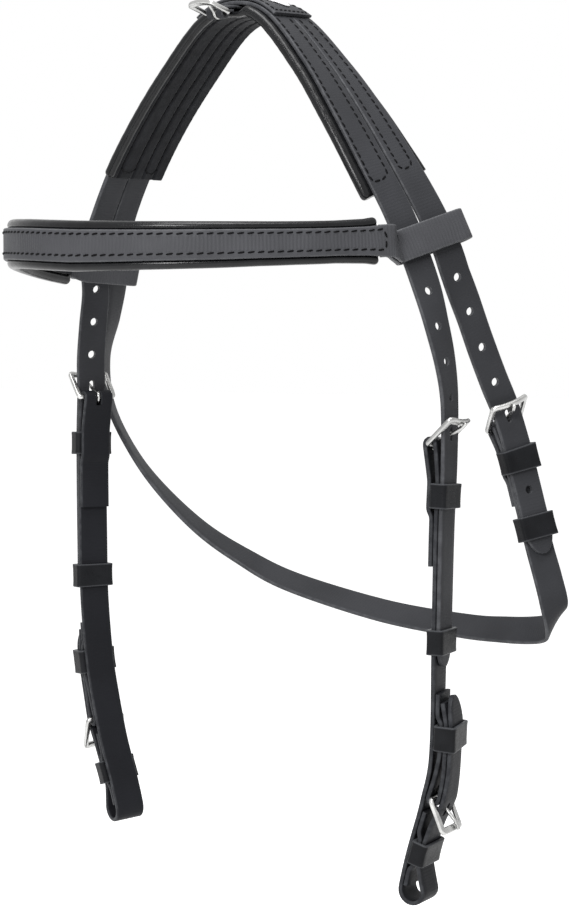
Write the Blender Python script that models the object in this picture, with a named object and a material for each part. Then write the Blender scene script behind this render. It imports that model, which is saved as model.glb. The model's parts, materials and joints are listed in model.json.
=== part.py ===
"""English bridle for a hackamore: padded headpiece, padded browband, two cheekpieces, throatlatch.

Frame: metres, +Z up, the horse faces -Y, +X is the horse's left (near) side.
The origin is where the middle of the padded crown rests on the poll.

Every strap is laid out flat first, as on a saddler's bench: how far along its route, how far
across, how far out from the head. The routes then carry that flat layout round the head.
"""
import math

import bpy
import bmesh
import numpy as np
from mathutils import Vector

MM = 0.001

# Strap stock
STRAP_WIDTH = 16.0 * MM
STRAP_THICK = 2.2 * MM
EDGE_CHAMFER = 0.5 * MM
SEAT_GAP = 0.3 * MM
STATION_STEP = 10.0 * MM
MAX_BEND = 15.0

# Punched holes
CHEEK_HOLE_SPACING = 17.6 * MM
THROAT_HOLE_SPACING = 19.2 * MM
HOLE_DIAMETER = 4.2 * MM
TONGUE_SLOT_LENGTH = 7.0 * MM
TONGUE_SLOT_WIDTH = 3.2 * MM

# Buckles: a flat frame with a bowed toe, and a bent tongue on the heel bar
BUCKLE_SIDE_ROOM = 0.7 * MM
BUCKLE_REACH = 16.5 * MM
BAR_THICK = 2.6 * MM
TOE_BAR_WIDTH = 3.6 * MM
TOE_BOW = 1.5 * MM
TOP_BUCKLE_TILT = 45.0
BIT_BUCKLE_TILT = 35.0
TOP_BAR_DEPTH = 7.0 * MM
TONGUE_WIRE = 1.8 * MM
TONGUE_CLEARANCE = 0.25 * MM
TONGUE_OVERHANG = 1.6 * MM
TONGUE_SIDE_ROOM = 0.7 * MM

# Keepers
KEEPER_LENGTH = 12.0 * MM
KEEPER_THICK = 1.6 * MM
KEEPER_SIDE_ROOM = 0.6 * MM
KEEPER_CORNER = 1.4 * MM

# Cheekpiece, measured down from the heel bar of its top buckle
FOLD_BACK_LENGTH = 59.0 * MM
CHEEK_FIXED_KEEPER = 25.0 * MM
CHEEK_LOOSE_KEEPER = 95.5 * MM
CHEEK_BILLET_TAIL = 108.0 * MM
BIT_HEEL_BAR = 172.5 * MM
KEEPER_ABOVE_BAR = 31.0 * MM
KEEPER_BELOW_BAR = 28.5 * MM
BIT_UPPER_KEEPER = BIT_HEEL_BAR - KEEPER_ABOVE_BAR
BIT_LOWER_KEEPER = BIT_HEEL_BAR + KEEPER_BELOW_BAR
CHAPE_TOP = BIT_UPPER_KEEPER - 21.0 * MM
LOOP_TAIL_TIP = BIT_UPPER_KEEPER - 20.0 * MM
LOOP_PATCH_TOP = BIT_LOWER_KEEPER - 20.5 * MM
LOOP_PATCH_END = BIT_LOWER_KEEPER + 18.5 * MM
LOOP_BOTTOM = BIT_LOWER_KEEPER + 27.5 * MM
LOOP_DIAMETER = 12.8 * MM
BAR_APPROACH = 12.0 * MM

# Headpiece, measured along the strap from the middle of the crown
SLIT = 0.8 * MM
PARTING = 0.5 * MM
FIRST_CHEEK_HOLE = 185.5 * MM
CHEEK_HOLE_COUNT = 5
NEAR_CHEEK_HOLE = 5
OFF_CHEEK_HOLE = 4
HOLE_TO_HEEL_BAR = 5.0 * MM

# Throatlatch
FIRST_THROAT_HOLE = 184.3 * MM
THROAT_HOLE_COUNT = 8
THROAT_BUCKLE_HOLE = 5
THROAT_FIXED_KEEPER = 17.5 * MM
THROAT_LOOSE_KEEPER = 52.0 * MM
THROAT_FOLD_BACK = 40.0 * MM
THROAT_BILLET_TAIL = 66.0 * MM
THROAT_STEP = 70.0 * MM

# Poll pad, measured along the crown from its middle
PAD_NEAR_END = 133.0 * MM
PAD_OFF_END = 119.0 * MM
PAD_FRONT_OVERHANG = 3.6 * MM
PAD_REAR_OVERHANG = 4.0 * MM
PAD_ROLL = 7.0 * MM
COVER_THICK = 1.4 * MM
FOAM_THICK = 3.2 * MM
LINING_THICK = 1.2 * MM

# Crown patch, badge and front buckle
PATCH_LENGTH = 48.0 * MM
PATCH_THICK = 1.6 * MM
BADGE_LENGTH = 19.0 * MM
BADGE_WIDTH = 11.0 * MM
BADGE_THICK = 0.8 * MM
BADGE_ALONG = 8.0 * MM
BADGE_ACROSS = 4.0 * MM
CROWN_BUCKLE_STRAP = 10.0 * MM
CROWN_BUCKLE_REACH = 13.0 * MM
CROWN_BUCKLE_TILT = 11.0
CROWN_BUCKLE_SIDE = -2.0 * MM
CROWN_CHAPE_THICK = 1.6 * MM
CROWN_CHAPE_SEWN = 9.0 * MM
CROWN_CHAPE_FREE = 7.0 * MM
CROWN_BAR_DROP = 3.6 * MM

# Browband, measured from the front edge of its off loop
BROWBAND_WIDTH = 15.6 * MM
BROWBAND_THICK = 2.2 * MM
BROWBAND_ROLL = 5.4 * MM
BROWBAND_ROLL_PITCH = 18.8 * MM
BROWBAND_FOAM_THICK = 2.6 * MM
BROWBAND_PAD_INSET = 8.0 * MM
NEAR_LOOP_AT = 161.0 * MM
NEAR_LOOP_REAR_AT = 161.0 * MM
OFF_LOOP_AT = 173.0 * MM
LOOP_SIDE_ROOM = 2.0 * MM
LOOP_FACE_ROOM = 2.2 * MM
LOOP_OVERLAP = 6.5 * MM

# Route stations: x, y, z in mm, then the direction of the strap's rear edge from its middle
REARWARD = (0.0, 1.0, 0.0)
CROWN_TOP = (STRAP_THICK / 2 + COVER_THICK + FOAM_THICK + LINING_THICK + 3 * SEAT_GAP) / MM
CROWN_ARCH = [
    (0.0, 0.0, CROWN_TOP), (20.3, 0.0, 1.5), (44.6, 0.0, -23.5), (64.3, 0.3, -47.5), (80.8, 1.2, -71.5),
    (93.8, 2.4, -95.5), (101.0, 3.6, -114.0),
]
NEAR_CROWN_TURN = [0.0, 3.0, 10.5, 20.0, 26.0, 29.0, 28.0]
NEAR_CROWN_SWAY = [0.0, 1.5, 1.5, -1.0, -2.2, 0.2, 3.0]
OFF_CROWN_TURN = [0.0, -1.0, -2.0, -2.0, -3.0, -4.0, -6.0]
NEAR_CHEEK = [
    (103.6, 0.4, -134.0, 25.0), (108.8, 1.5, -152.0, 13.0), (111.2, 5.5, -170.5, 3.0),
    (112.6, 7.4, -190.0, -5.0), (113.3, 6.2, -220.0, -8.0), (112.6, 5.2, -250.0, -9.0),
    (111.9, 4.9, -285.0, -10.0), (111.3, 4.9, -315.0, -11.0), (109.6, 6.6, -347.0, -13.0),
    (107.1, 8.3, -368.0, -13.0), (104.0, 8.6, -383.0, -9.0), (99.4, 8.4, -398.0, -7.0),
    (94.6, 8.8, -413.0, -6.0), (90.6, 9.1, -428.0, -6.0), (86.6, 9.4, -446.0, -6.0),
]
OFF_CHEEK = [
    (106.0, 2.0, -134.0, -18.0), (108.8, 3.2, -152.0, -23.0), (111.6, 4.6, -170.5, -25.0),
    (113.0, 6.4, -188.0, -25.0), (113.2, 6.0, -208.0, -26.0), (112.6, 5.2, -232.0, -26.0),
    (111.9, 4.8, -267.0, -26.0), (111.3, 4.9, -297.0, -26.0), (109.6, 6.6, -329.0, -26.0),
    (107.1, 8.3, -350.0, -26.0), (104.0, 8.6, -365.0, -26.0), (99.4, 8.4, -380.0, -26.0),
    (94.6, 8.8, -395.0, -26.0), (90.6, 9.1, -410.0, -26.0), (86.6, 9.4, -428.0, -26.0),
]
NEAR_THROAT = [
    (107.7, 20.7, -128.5, (0.42, 0.91, 0.0)), (109.1, 30.3, -145.4, (0.42, 0.91, 0.0)),
    (111.7, 37.5, -162.7, (0.44, 0.9, 0.0)), (114.3, 45.1, -179.3, (0.44, 0.9, 0.0)),
    (117.0, 53.5, -196.0, (0.42, 0.88, 0.0)), (120.5, 57.8, -213.0, (0.42, 0.88, 0.0)),
    (124.2, 60.2, -230.0, (0.42, 0.88, 0.0)), (128.0, 61.6, -246.0, (0.42, 0.88, 0.0)),
    (132.0, 63.0, -262.0, (0.44, 0.86, 0.02)), (135.8, 64.2, -277.0, (0.46, 0.84, 0.05)),
    (138.2, 65.6, -289.0, (0.42, 0.78, 0.2)), (136.8, 70.4, -298.5, (0.3, 0.6, 0.6)),
    (130.0, 77.0, -304.6, (0.12, 0.5, 0.82)), (118.0, 80.6, -307.3, (-0.03, 0.58, 0.81)),
    (100.8, 79.4, -307.9, (-0.05, 0.68, 0.73)), (77.6, 77.0, -307.3, (0.0, 0.77, 0.64)),
    (29.0, 75.0, -302.4, (0.04, 0.84, 0.54)), (-27.8, 72.0, -290.3, (0.04, 0.91, 0.41)),
    (-58.1, 68.0, -277.7, (-0.06, 0.96, 0.27)), (-81.4, 61.0, -262.9, (-0.24, 0.95, 0.18)),
    (-100.6, 50.5, -241.9, (-0.39, 0.91, 0.11)), (-113.4, 42.0, -221.3, (-0.5, 0.86, 0.09)),
    (-121.7, 33.5, -196.6, (-0.51, 0.84, 0.15)), (-120.4, 26.8, -171.3, (-0.41, 0.90, 0.16)),
    (-111.4, 22.4, -149.0, (-0.26, 0.96, 0.04)), (-105.4, 19.0, -131.0, (-0.10, 0.99, 0.0)),
]
BROWBAND = [
    (-104.6, -9.0, -121.0), (-103.6, -36.0, -118.5), (-99.4, -64.0, -115.0), (-86.5, -90.0, -112.6),
    (-62.0, -108.6, -113.2), (-33.0, -118.0, -114.6), (-2.0, -119.0, -116.0), (28.0, -110.5, -116.6),
    (55.0, -91.5, -116.4), (77.0, -65.0, -115.4), (93.0, -37.0, -113.4), (101.0, -17.5, -112.0),
]

# Colours and finishes: red, green, blue, metallic, roughness
FINISHES = {
    "strap": (0.052, 0.055, 0.060, 0.0, 0.62),
    "padding": (0.035, 0.037, 0.042, 0.0, 0.42),
    "lining": (0.028, 0.029, 0.033, 0.0, 0.70),
    "foam": (0.12, 0.12, 0.12, 0.0, 0.95),
    "badge": (0.80, 0.80, 0.80, 0.0, 0.40),
    "steel": (0.72, 0.72, 0.71, 1.0, 0.25),
}


def smooth_curve(stations, step, closed):
    """Catmull-Rom curve through the stations, sampled every step; returns rows and their slopes."""
    rows = np.array(stations, float)
    if closed:
        rows = np.vstack([rows[-2], rows, rows[1]])
    else:
        rows = np.vstack([2 * rows[0] - rows[1], rows, 2 * rows[-1] - rows[-2]])
    places, slopes = [], []
    for a, b, c, d in zip(rows[:-3], rows[1:-2], rows[2:-1], rows[3:]):
        count = max(2, int(np.linalg.norm(c[:3] - b[:3]) / step))
        t = np.linspace(0.0, 1.0, count, endpoint=False)[:, None]
        first, second, third = c - a, 2 * a - 5 * b + 4 * c - d, 3 * b - a - 3 * c + d
        places.append(0.5 * (2 * b + first * t + second * t ** 2 + third * t ** 3))
        slopes.append(0.5 * (first + 2 * second * t + 3 * third * t ** 2))
    places.append(rows[-2][None])
    slopes.append(0.5 * (rows[-1] - rows[-3])[None])
    return np.vstack(places), np.vstack(slopes)


class Route:
    """A strap's way round the head: a smooth line with its width direction and its outer face."""

    def __init__(self, stations, start=0, closed=False):
        rows, slopes = smooth_curve(stations, 1.5 * MM, closed)
        self.points, tangent, width = rows[:, :3], slopes[:, :3], rows[:, 3:]
        steps = np.linalg.norm(np.diff(self.points, axis=0), axis=1)
        self.length = np.concatenate([[0.0], np.cumsum(steps)])
        self.whole = self.length[-1]
        self.closed = closed
        nearest = np.linalg.norm(self.points - np.array(stations[start][:3]), axis=1)
        self.length -= self.length[nearest.argmin()]
        tangent = tangent / np.linalg.norm(tangent, axis=1)[:, None]
        width = width - (width * tangent).sum(1)[:, None] * tangent
        self.tangent = tangent
        self.width = width / np.linalg.norm(width, axis=1)[:, None]
        self.out = np.cross(self.tangent, self.width)
        self.stations = self.spread()

    def spread(self):
        """Distances at which straps take a ring: a step apart, and closer where the route bends."""
        bend = np.arccos(np.clip((self.tangent[1:] * self.tangent[:-1]).sum(1), -1, 1))
        twist = np.arccos(np.clip((self.width[1:] * self.width[:-1]).sum(1), -1, 1))
        gained = np.maximum(np.diff(self.length) / STATION_STEP, (bend + twist) / math.radians(MAX_BEND))
        measure = np.concatenate([[0.0], np.cumsum(gained)])
        places = np.interp(np.arange(math.ceil(measure[-1])), measure, self.length)
        return np.concatenate([places - self.whole, places]) if self.closed else places

    def sample(self, table, along):
        """Rows of a table at the given distances along the route."""
        return np.stack([np.interp(along, self.length, table[:, k]) for k in range(3)], axis=-1)

    def place(self, along, across, out):
        """World points of a flat layout; beyond its ends the route runs on straight."""
        along = np.asarray(along, float)
        if self.closed:
            along = np.mod(along, self.whole)
        inside = np.clip(along, self.length[0], self.length[-1])
        base = self.sample(self.points, inside)
        frames = [self.sample(table, inside) for table in (self.tangent, self.width, self.out)]
        shifts = (along - inside, np.asarray(across, float), np.asarray(out, float))
        for frame, shift in zip(frames, shifts):
            base = base + frame * np.broadcast_to(shift, along.shape)[..., None]
        return base


def with_turn(x, y, z, turn, side):
    """One station in metres; turn swings the outer face towards the front, side is +1 near, -1 off."""
    angle = math.radians(turn)
    return (side * x * MM, y * MM, z * MM, side * math.sin(angle), math.cos(angle), 0.0)


def crown_stations(side, turns, sway):
    """The crown's stations on one side; sway is how far the strap hangs further back there."""
    return [with_turn(x, y + back, z, turn, side) for (x, y, z), turn, back in zip(CROWN_ARCH, turns, sway)]


def shifted(stations, across, parting=0.0):
    """The same stations moved across by a distance square to the line, further at the two end stations."""
    slopes = np.gradient(np.array([station[:3] for station in stations]), axis=0) if len(stations) > 1 else [(0, 0, 1)]
    moved = []
    for (x, y, z, wx, wy, wz), slope in zip(stations, slopes):
        shift = across
        if parting and (x, y, z) in (stations[0][:3], stations[-1][:3]) and abs(x) > 1 * MM:
            shift += math.copysign(parting, across)
        shift /= math.sqrt(1 - (np.dot(slope, (wx, wy, wz)) / np.linalg.norm(slope)) ** 2)
        moved.append((x + wx * shift, y + wy * shift, z + wz * shift, wx, wy, wz))
    return moved


HALF_PITCH = (STRAP_WIDTH + SLIT) / 2
near_crown = crown_stations(1, NEAR_CROWN_TURN, NEAR_CROWN_SWAY)
off_crown = crown_stations(-1, OFF_CROWN_TURN, [0.0] * len(CROWN_ARCH))
crown_line = off_crown[:0:-1] + near_crown
near_cheek = [with_turn(*station, 1) for station in NEAR_CHEEK]
off_cheek = [with_turn(*station, -1) for station in OFF_CHEEK]
throat = [(x * MM, y * MM, z * MM, *w) for x, y, z, w in NEAR_THROAT]
off_rear = shifted(off_crown[1:], HALF_PITCH, PARTING)[1:]
off_rear = shifted(off_crown[1:2], HALF_PITCH) + off_rear
crown_route = Route(crown_line, len(off_crown) - 1)
front_route = Route(off_cheek[::-1] + shifted(crown_line, -HALF_PITCH, PARTING) + near_cheek,
                    len(off_cheek) + len(off_crown) - 1)
rear_route = Route(shifted(near_crown, HALF_PITCH, PARTING) + throat + off_rear[::-1]
                   + shifted(near_crown[:1], HALF_PITCH), closed=True)
browband_route = Route([(x * MM, y * MM, z * MM, 0.0, 0.0, 1.0) for x, y, z in BROWBAND])

# Every layer over the crown takes its rings at the same places, also where the chape dents the pad
DENT_INNER = CROWN_BUCKLE_STRAP / 2 + 1.0 * MM
DENT_OUTER = CROWN_BUCKLE_STRAP / 2 + 6.0 * MM
marks = [CROWN_BUCKLE_SIDE + sign * step for sign in (-1, 1)
         for step in (DENT_INNER / 2, DENT_INNER, (DENT_INNER + DENT_OUTER) / 2, DENT_OUTER)]
crown_places = [s for s in crown_route.stations if all(abs(s - mark) > 2.6 * MM for mark in marks)]
crown_places = np.array(sorted(crown_places + marks + [CROWN_BUCKLE_SIDE]))
crown_end = crown_places[-1] + 2 * MM
crown_route.stations = crown_places
for route, shifts in ((front_route, (0.0,)), (rear_route, (0.0, rear_route.whole, -rear_route.whole))):
    kept = [s for s in route.stations if all(abs(s - shift) > crown_end for shift in shifts)]
    route.stations = np.array(sorted(kept + [place + shift for shift in shifts for place in crown_places]))


def make_material(name):
    red, green, blue, metallic, roughness = FINISHES[name]
    material = bpy.data.materials.new(name)
    material.use_nodes = True
    shader = material.node_tree.nodes["Principled BSDF"]
    shader.inputs["Base Color"].default_value = (red, green, blue, 1.0)
    shader.inputs["Metallic"].default_value = metallic
    shader.inputs["Roughness"].default_value = roughness
    material.diffuse_color = (red, green, blue, 1.0)
    return material


parts = bpy.data.collections.new("hackamore_bridle")
cutters = bpy.data.collections.new("cutters")
materials = {}


def clear_scene():
    for item in list(bpy.data.objects):
        bpy.data.objects.remove(item, do_unlink=True)
    bpy.context.scene.collection.children.link(parts)
    bpy.context.scene.collection.children.link(cutters)
    for name in FINISHES:
        materials[name] = make_material(name)


def face_outwards(work):
    """Turn every face outwards, also where a side's mirrored layout turned the solid inside out."""
    work.normal_update()
    bmesh.ops.recalc_face_normals(work, faces=work.faces)
    if work.calc_volume(signed=True) < 0:
        bmesh.ops.reverse_faces(work, faces=work.faces)


def close_mesh(work):
    """Weld, cap any open ends and turn every face outwards."""
    bmesh.ops.remove_doubles(work, verts=work.verts, dist=1e-6)
    loose = [edge for edge in work.edges if len(edge.link_faces) == 1]
    if loose:
        bmesh.ops.holes_fill(work, edges=loose, sides=0)
    face_outwards(work)


def add_part(name, mesh, finish, origin=None):
    """Put a finished mesh in the parts collection, its origin moved to the given point."""
    item = bpy.data.objects.new(name, mesh)
    if origin is not None:
        origin = Vector(origin)
        for vertex in mesh.vertices:
            vertex.co -= origin
        item.location = origin
    mesh.materials.append(materials[finish])
    mesh.shade_smooth()
    mesh.set_sharp_from_angle(angle=math.radians(35))
    parts.objects.link(item)
    return item


def lay(route, corners):
    """Flat path (along, out) through the corners, with the route's own stations put in between."""
    rows = [corners[0]]
    for (a, out_a), (b, out_b) in zip(corners, corners[1:]):
        low, high = min(a, b) + 1.2 * MM, max(a, b) - 1.2 * MM
        between = sorted((s for s in route.stations if low < s < high), reverse=bool(a > b))
        rows += [(s, out_a + (out_b - out_a) * (s - a) / (b - a)) for s in between]
        rows.append((b, out_b))
    return rows


def fold(centre, start, end, toward, steps=6):
    """Half-round fold in the flat layout, from out=start to out=end, bulging toward +along or -along."""
    middle, radius = (start + end) / 2, (start - end) / 2
    angles = [math.pi * k / steps for k in range(1, steps)]
    return [(centre + toward * abs(radius) * math.sin(a), middle + radius * math.cos(a)) for a in angles]


def strap_profile(width, thickness, chamfer=EDGE_CHAMFER, split=False):
    """Closed cross-section with cut corners: (across, depth) pairs, the first repeated at the end."""
    w, t, c = width / 2, thickness / 2, min(chamfer, thickness / 3)
    middle = [0.0] if split else []
    ring = [(-w, -t + c), (-w + c, -t)] + [(x, -t) for x in middle] + [(w - c, -t), (w, -t + c), (w, t - c)]
    ring += [(w - c, t)] + [(x, t) for x in middle] + [(-w + c, t), (-w, t - c)]
    return ring + ring[:1]


def path_normals(path):
    """Outward side of a flat path at each point, longer at a corner so the thickness stays even."""
    steps = np.diff(path, axis=0)
    steps /= np.linalg.norm(steps, axis=1)[:, None]
    mean = np.vstack([steps[:1], (steps[:-1] + steps[1:]) / 2, steps[-1:]])
    mean /= (mean ** 2).sum(1)[:, None]
    return np.stack([-mean[:, 1], mean[:, 0]], axis=1)


def loft(rings):
    """Closed solid through rings of world points, made from one grid whose seam is welded."""
    rings = np.asarray(rings, float)
    count, around = rings.shape[:2]
    work = bmesh.new()
    bmesh.ops.create_grid(work, x_segments=count - 1, y_segments=around - 1, size=1.0)
    for vertex in work.verts:
        i = round((vertex.co.x + 1) / 2 * (count - 1))
        j = round((vertex.co.y + 1) / 2 * (around - 1))
        vertex.co = Vector(rings[i, j])
    close_mesh(work)
    mesh = bpy.data.meshes.new("loft")
    work.to_mesh(mesh)
    work.free()
    return mesh


def strap(name, finish, route, path, width, thickness=STRAP_THICK, taper=None, split=False):
    """A strap laid along a route: every ring is placed flat first and then carried round the head."""
    path = np.asarray(path, float)
    normals = path_normals(path)
    profile = np.array(strap_profile(width, thickness, split=split))
    scale = np.ones(len(path)) if taper is None else np.array(taper)
    rings = []
    for (along, out), (turn_along, turn_out), wide in zip(path, normals, scale):
        depth = profile[:, 1]
        rings.append(route.place(along + turn_along * depth, profile[:, 0] * wide, out + turn_out * depth))
    return add_part(name, loft(rings), finish)


def pointed_end(path, tip_first=True):
    """Width of a strap with a rounded point, as a share of its full width, by distance from the tip."""
    path = np.asarray(path, float)
    steps = np.linalg.norm(np.diff(path, axis=0), axis=1)
    far = np.concatenate([[0.0], np.cumsum(steps)])
    if not tip_first:
        far = far[-1] - far
    return np.interp(far, [0.0, 1.5 * MM, 4.5 * MM, 9.0 * MM, 13.0 * MM], [0.28, 0.5, 0.76, 0.95, 1.0])


def tip_points(tip, inward, out, rise=0.0):
    """Close points near a strap's tip, so that its rounded point is drawn; rise is the lift over them."""
    steps = (0.0, 1.5 * MM, 4.5 * MM, 9.0 * MM, 13.0 * MM)
    return [(tip + inward * step, out + rise * step / steps[-1]) for step in steps]


def mesh_from_curve(curve_object):
    """Welded mesh of a curve object in world space; the curve is removed."""
    bpy.context.view_layer.update()
    mesh = bpy.data.meshes.new_from_object(curve_object.evaluated_get(bpy.context.evaluated_depsgraph_get()))
    mesh.materials.clear()
    mesh.transform(curve_object.matrix_world)
    work = bmesh.new()
    work.from_mesh(mesh)
    bmesh.ops.remove_doubles(work, verts=work.verts, dist=2e-6)
    face_outwards(work)
    work.to_mesh(mesh)
    work.free()
    bpy.data.objects.remove(curve_object, do_unlink=True)
    return mesh


def plate_mesh(outlines, thickness, bevel=0.0):
    """Flat plate with real openings: a 2D curve of outlines, filled and extruded."""
    curve = bpy.data.curves.new("outline", "CURVE")
    curve.dimensions, curve.fill_mode = "2D", "BOTH"
    curve.extrude = thickness / 2 - bevel
    curve.bevel_depth, curve.bevel_resolution = bevel, 0
    for outline in outlines:
        spline = curve.splines.new("POLY")
        spline.points.add(len(outline) - 1)
        for point, (x, y) in zip(spline.points, outline):
            point.co = (x, y, 0.0, 1.0)
        spline.use_cyclic_u = True
    item = bpy.data.objects.new("outline", curve)
    parts.objects.link(item)
    return mesh_from_curve(item)


def wire_mesh(points, diameter):
    """Round wire with filled ends through the given points."""
    curve = bpy.data.curves.new("wire", "CURVE")
    curve.dimensions, curve.bevel_depth = "3D", diameter / 2
    curve.bevel_resolution, curve.use_fill_caps = 1, True
    spline = curve.splines.new("POLY")
    spline.points.add(len(points) - 1)
    for point, place in zip(spline.points, points):
        point.co = (*place, 1.0)
    item = bpy.data.objects.new("wire", curve)
    parts.objects.link(item)
    return mesh_from_curve(item)


def rounded_box(low_x, high_x, low_y, high_y, radius, steps):
    """Outline of a rectangle with rounded corners."""
    outline = []
    corners = [(high_x - radius, high_y - radius, 0), (low_x + radius, high_y - radius, 90),
               (low_x + radius, low_y + radius, 180), (high_x - radius, low_y + radius, 270)]
    for x, y, start in corners:
        for k in range(steps + 1):
            angle = math.radians(start + 90 * k / steps)
            outline.append((x + radius * math.cos(angle), y + radius * math.sin(angle)))
    return outline


def carry(mesh, route, along):
    """Move a mesh made flat (x across, y out, z along) to its place on a route."""
    points = np.array([vertex.co[:] for vertex in mesh.vertices])
    placed = route.place(along + points[:, 2], points[:, 0], points[:, 1])
    for vertex, point in zip(mesh.vertices, placed):
        vertex.co = Vector(point)
    work = bmesh.new()
    work.from_mesh(mesh)
    face_outwards(work)
    work.to_mesh(mesh)
    work.free()
    return mesh


def keeper(name, route, along, low, high, moving=False):
    """Ring of leather round a stack of straps that lies between out=low and out=high."""
    half = STRAP_WIDTH / 2 + KEEPER_SIDE_ROOM
    low, high = low - SEAT_GAP, high + SEAT_GAP
    outer = rounded_box(-half - KEEPER_THICK, half + KEEPER_THICK, low - KEEPER_THICK, high + KEEPER_THICK,
                        KEEPER_CORNER, 2)
    inner = rounded_box(-half, half, low, high, KEEPER_CORNER / 3, 1)
    mesh = plate_mesh([outer, inner], KEEPER_LENGTH)
    centre = route.place(np.array([along]), 0.0, (low + high) / 2)[0] if moving else None
    return add_part(name, carry(mesh, route, along), "strap", centre)


def cut(item, cutter):
    """Boolean cut; the cutter stays in its own collection, out of the render."""
    modifier = item.modifiers.new("cut", "BOOLEAN")
    modifier.operation, modifier.solver, modifier.object = "DIFFERENCE", "EXACT", cutter
    return modifier


def add_cutter(name, mesh):
    item = bpy.data.objects.new(name, mesh)
    item.hide_render, item.display_type = True, "WIRE"
    cutters.objects.link(item)
    return item


def hole_cutter(name, route, places, out, reach):
    """One mesh of round punches standing through a strap at each place along its route."""
    work = bmesh.new()
    for along in places:
        made = bmesh.ops.create_cone(work, cap_ends=True, segments=12, radius1=HOLE_DIAMETER / 2,
                                     radius2=HOLE_DIAMETER / 2, depth=2 * reach)
        flat = np.array([vertex.co[:] for vertex in made["verts"]])
        placed = route.place(along + flat[:, 0], flat[:, 1], out + flat[:, 2])
        for vertex, point in zip(made["verts"], placed):
            vertex.co = Vector(point)
    face_outwards(work)
    mesh = bpy.data.meshes.new(name)
    work.to_mesh(mesh)
    work.free()
    return add_cutter(name, mesh)


def slot_cutter(name, route, low, high, half_width, bottom, top):
    """Box through a strap: along from low to high, across by its half width, out from bottom to top."""
    work = bmesh.new()
    bmesh.ops.create_cube(work, size=2.0)
    flat = np.array([vertex.co[:] for vertex in work.verts])
    along = (low + high) / 2 + flat[:, 0] * (high - low) / 2
    placed = route.place(along, flat[:, 1] * half_width, (bottom + top) / 2 + flat[:, 2] * (top - bottom) / 2)
    for vertex, point in zip(work.verts, placed):
        vertex.co = Vector(point)
    face_outwards(work)
    mesh = bpy.data.meshes.new(name)
    work.to_mesh(mesh)
    work.free()
    return add_cutter(name, mesh)


class Buckle:
    """A buckle on a strap. In its own axes x runs across, y from heel bar to toe, z out of the plate."""

    def __init__(self, name, route, heel, toe, out, tilt, strap_width, reach=BUCKLE_REACH):
        self.name, self.route, self.heel, self.toe, self.out_at_bar = name, route, heel, toe, out
        self.half_inside = strap_width / 2 + BUCKLE_SIDE_ROOM
        self.reach = reach
        at = np.array([heel % route.whole if route.closed else heel])
        lift, lean = math.sin(math.radians(tilt)), math.cos(math.radians(tilt))
        along, outward = route.sample(route.tangent, at)[0] * toe, route.sample(route.out, at)[0]
        self.base = route.place(at, 0.0, out)[0]
        self.axis_x = route.sample(route.width, at)[0]
        self.axis_x /= np.linalg.norm(self.axis_x)
        along, outward = along / np.linalg.norm(along), outward / np.linalg.norm(outward)
        self.axis_y = along * lean + outward * lift
        self.axis_z = outward * lean - along * lift

    def place(self, x, y, z):
        return self.base + self.axis_x * x + self.axis_y * y + self.axis_z * z

    def carry(self, mesh):
        for vertex in mesh.vertices:
            vertex.co = Vector(self.place(*vertex.co))
        work = bmesh.new()
        work.from_mesh(mesh)
        face_outwards(work)
        work.to_mesh(mesh)
        work.free()
        return mesh

    def bow(self, x, y):
        """The toe stands out of the plate, most in its middle."""
        half = self.half_inside + BAR_THICK
        return TOE_BOW * max(0.0, 1 - (x / half) ** 2) * min(1.0, max(0.0, y / self.reach)) ** 2

    def outline(self, half, low, high, radius):
        """Rectangle with rounded toe corners and points along the toe, where the plate is bowed."""
        points = [(-half, low), (half, low)]
        for k in range(4):
            angle = math.radians(30 * k)
            points.append((half - radius + radius * math.cos(angle), high - radius + radius * math.sin(angle)))
        edge = half - radius
        points += [(edge * (1 - k / 3), high) for k in range(1, 6)]
        return points + [(-x, y) for x, y in reversed(points[2:6])]

    def make_frame(self):
        bevel = BAR_THICK * (1 - math.sqrt(0.5))
        half, toe = self.half_inside, TOE_BAR_WIDTH / 2
        outer = self.outline(half + BAR_THICK - bevel, -BAR_THICK / 2 + bevel, self.reach + toe - bevel, 1.6 * MM)
        inner = self.outline(half + bevel, BAR_THICK / 2 - bevel, self.reach - toe + bevel, 0.7 * MM + bevel)
        mesh = plate_mesh([outer, inner], BAR_THICK, bevel)
        for vertex in mesh.vertices:
            vertex.co.z += self.bow(vertex.co.x, vertex.co.y)
        return add_part(self.name + "_frame", self.carry(mesh), "steel", self.base)

    def make_tongue(self):
        """Wire ring round the heel bar that runs on as a prong to the far edge of the toe."""
        ring = BAR_THICK / 2 / math.cos(math.pi / 8) + TONGUE_CLEARANCE + TONGUE_WIRE / 2
        points = [(0.0, ring * math.cos(math.radians(a)), ring * math.sin(math.radians(a)))
                  for a in range(-300, -9, 29)]
        rest = TOE_BOW + BAR_THICK / 2 + TONGUE_CLEARANCE + TONGUE_WIRE / 2
        end = self.reach + TONGUE_OVERHANG
        points += [(0.0, 0.36 * self.reach, 0.15 * rest), (0.0, 0.66 * self.reach, 0.66 * rest),
                   (0.0, self.reach - 1.5 * MM, rest), (0.0, end, rest - 0.1 * MM)]
        return add_part(self.name + "_tongue", self.carry(wire_mesh(points, TONGUE_WIRE)), "steel", self.base)

    def tongue_slot(self, name):
        """Room for the tongue's ring in the leather folded round the heel bar."""
        half, depth = TONGUE_WIRE / 2 + TONGUE_SIDE_ROOM, 2.5 * BAR_THICK
        work = bmesh.new()
        bmesh.ops.create_cube(work, size=2.0)
        for vertex in work.verts:
            x, y, z = vertex.co
            vertex.co = Vector(self.place(x * half, y * depth, z * depth))
        face_outwards(work)
        mesh = bpy.data.meshes.new(name)
        work.to_mesh(mesh)
        work.free()
        return add_cutter(name, mesh)


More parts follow.
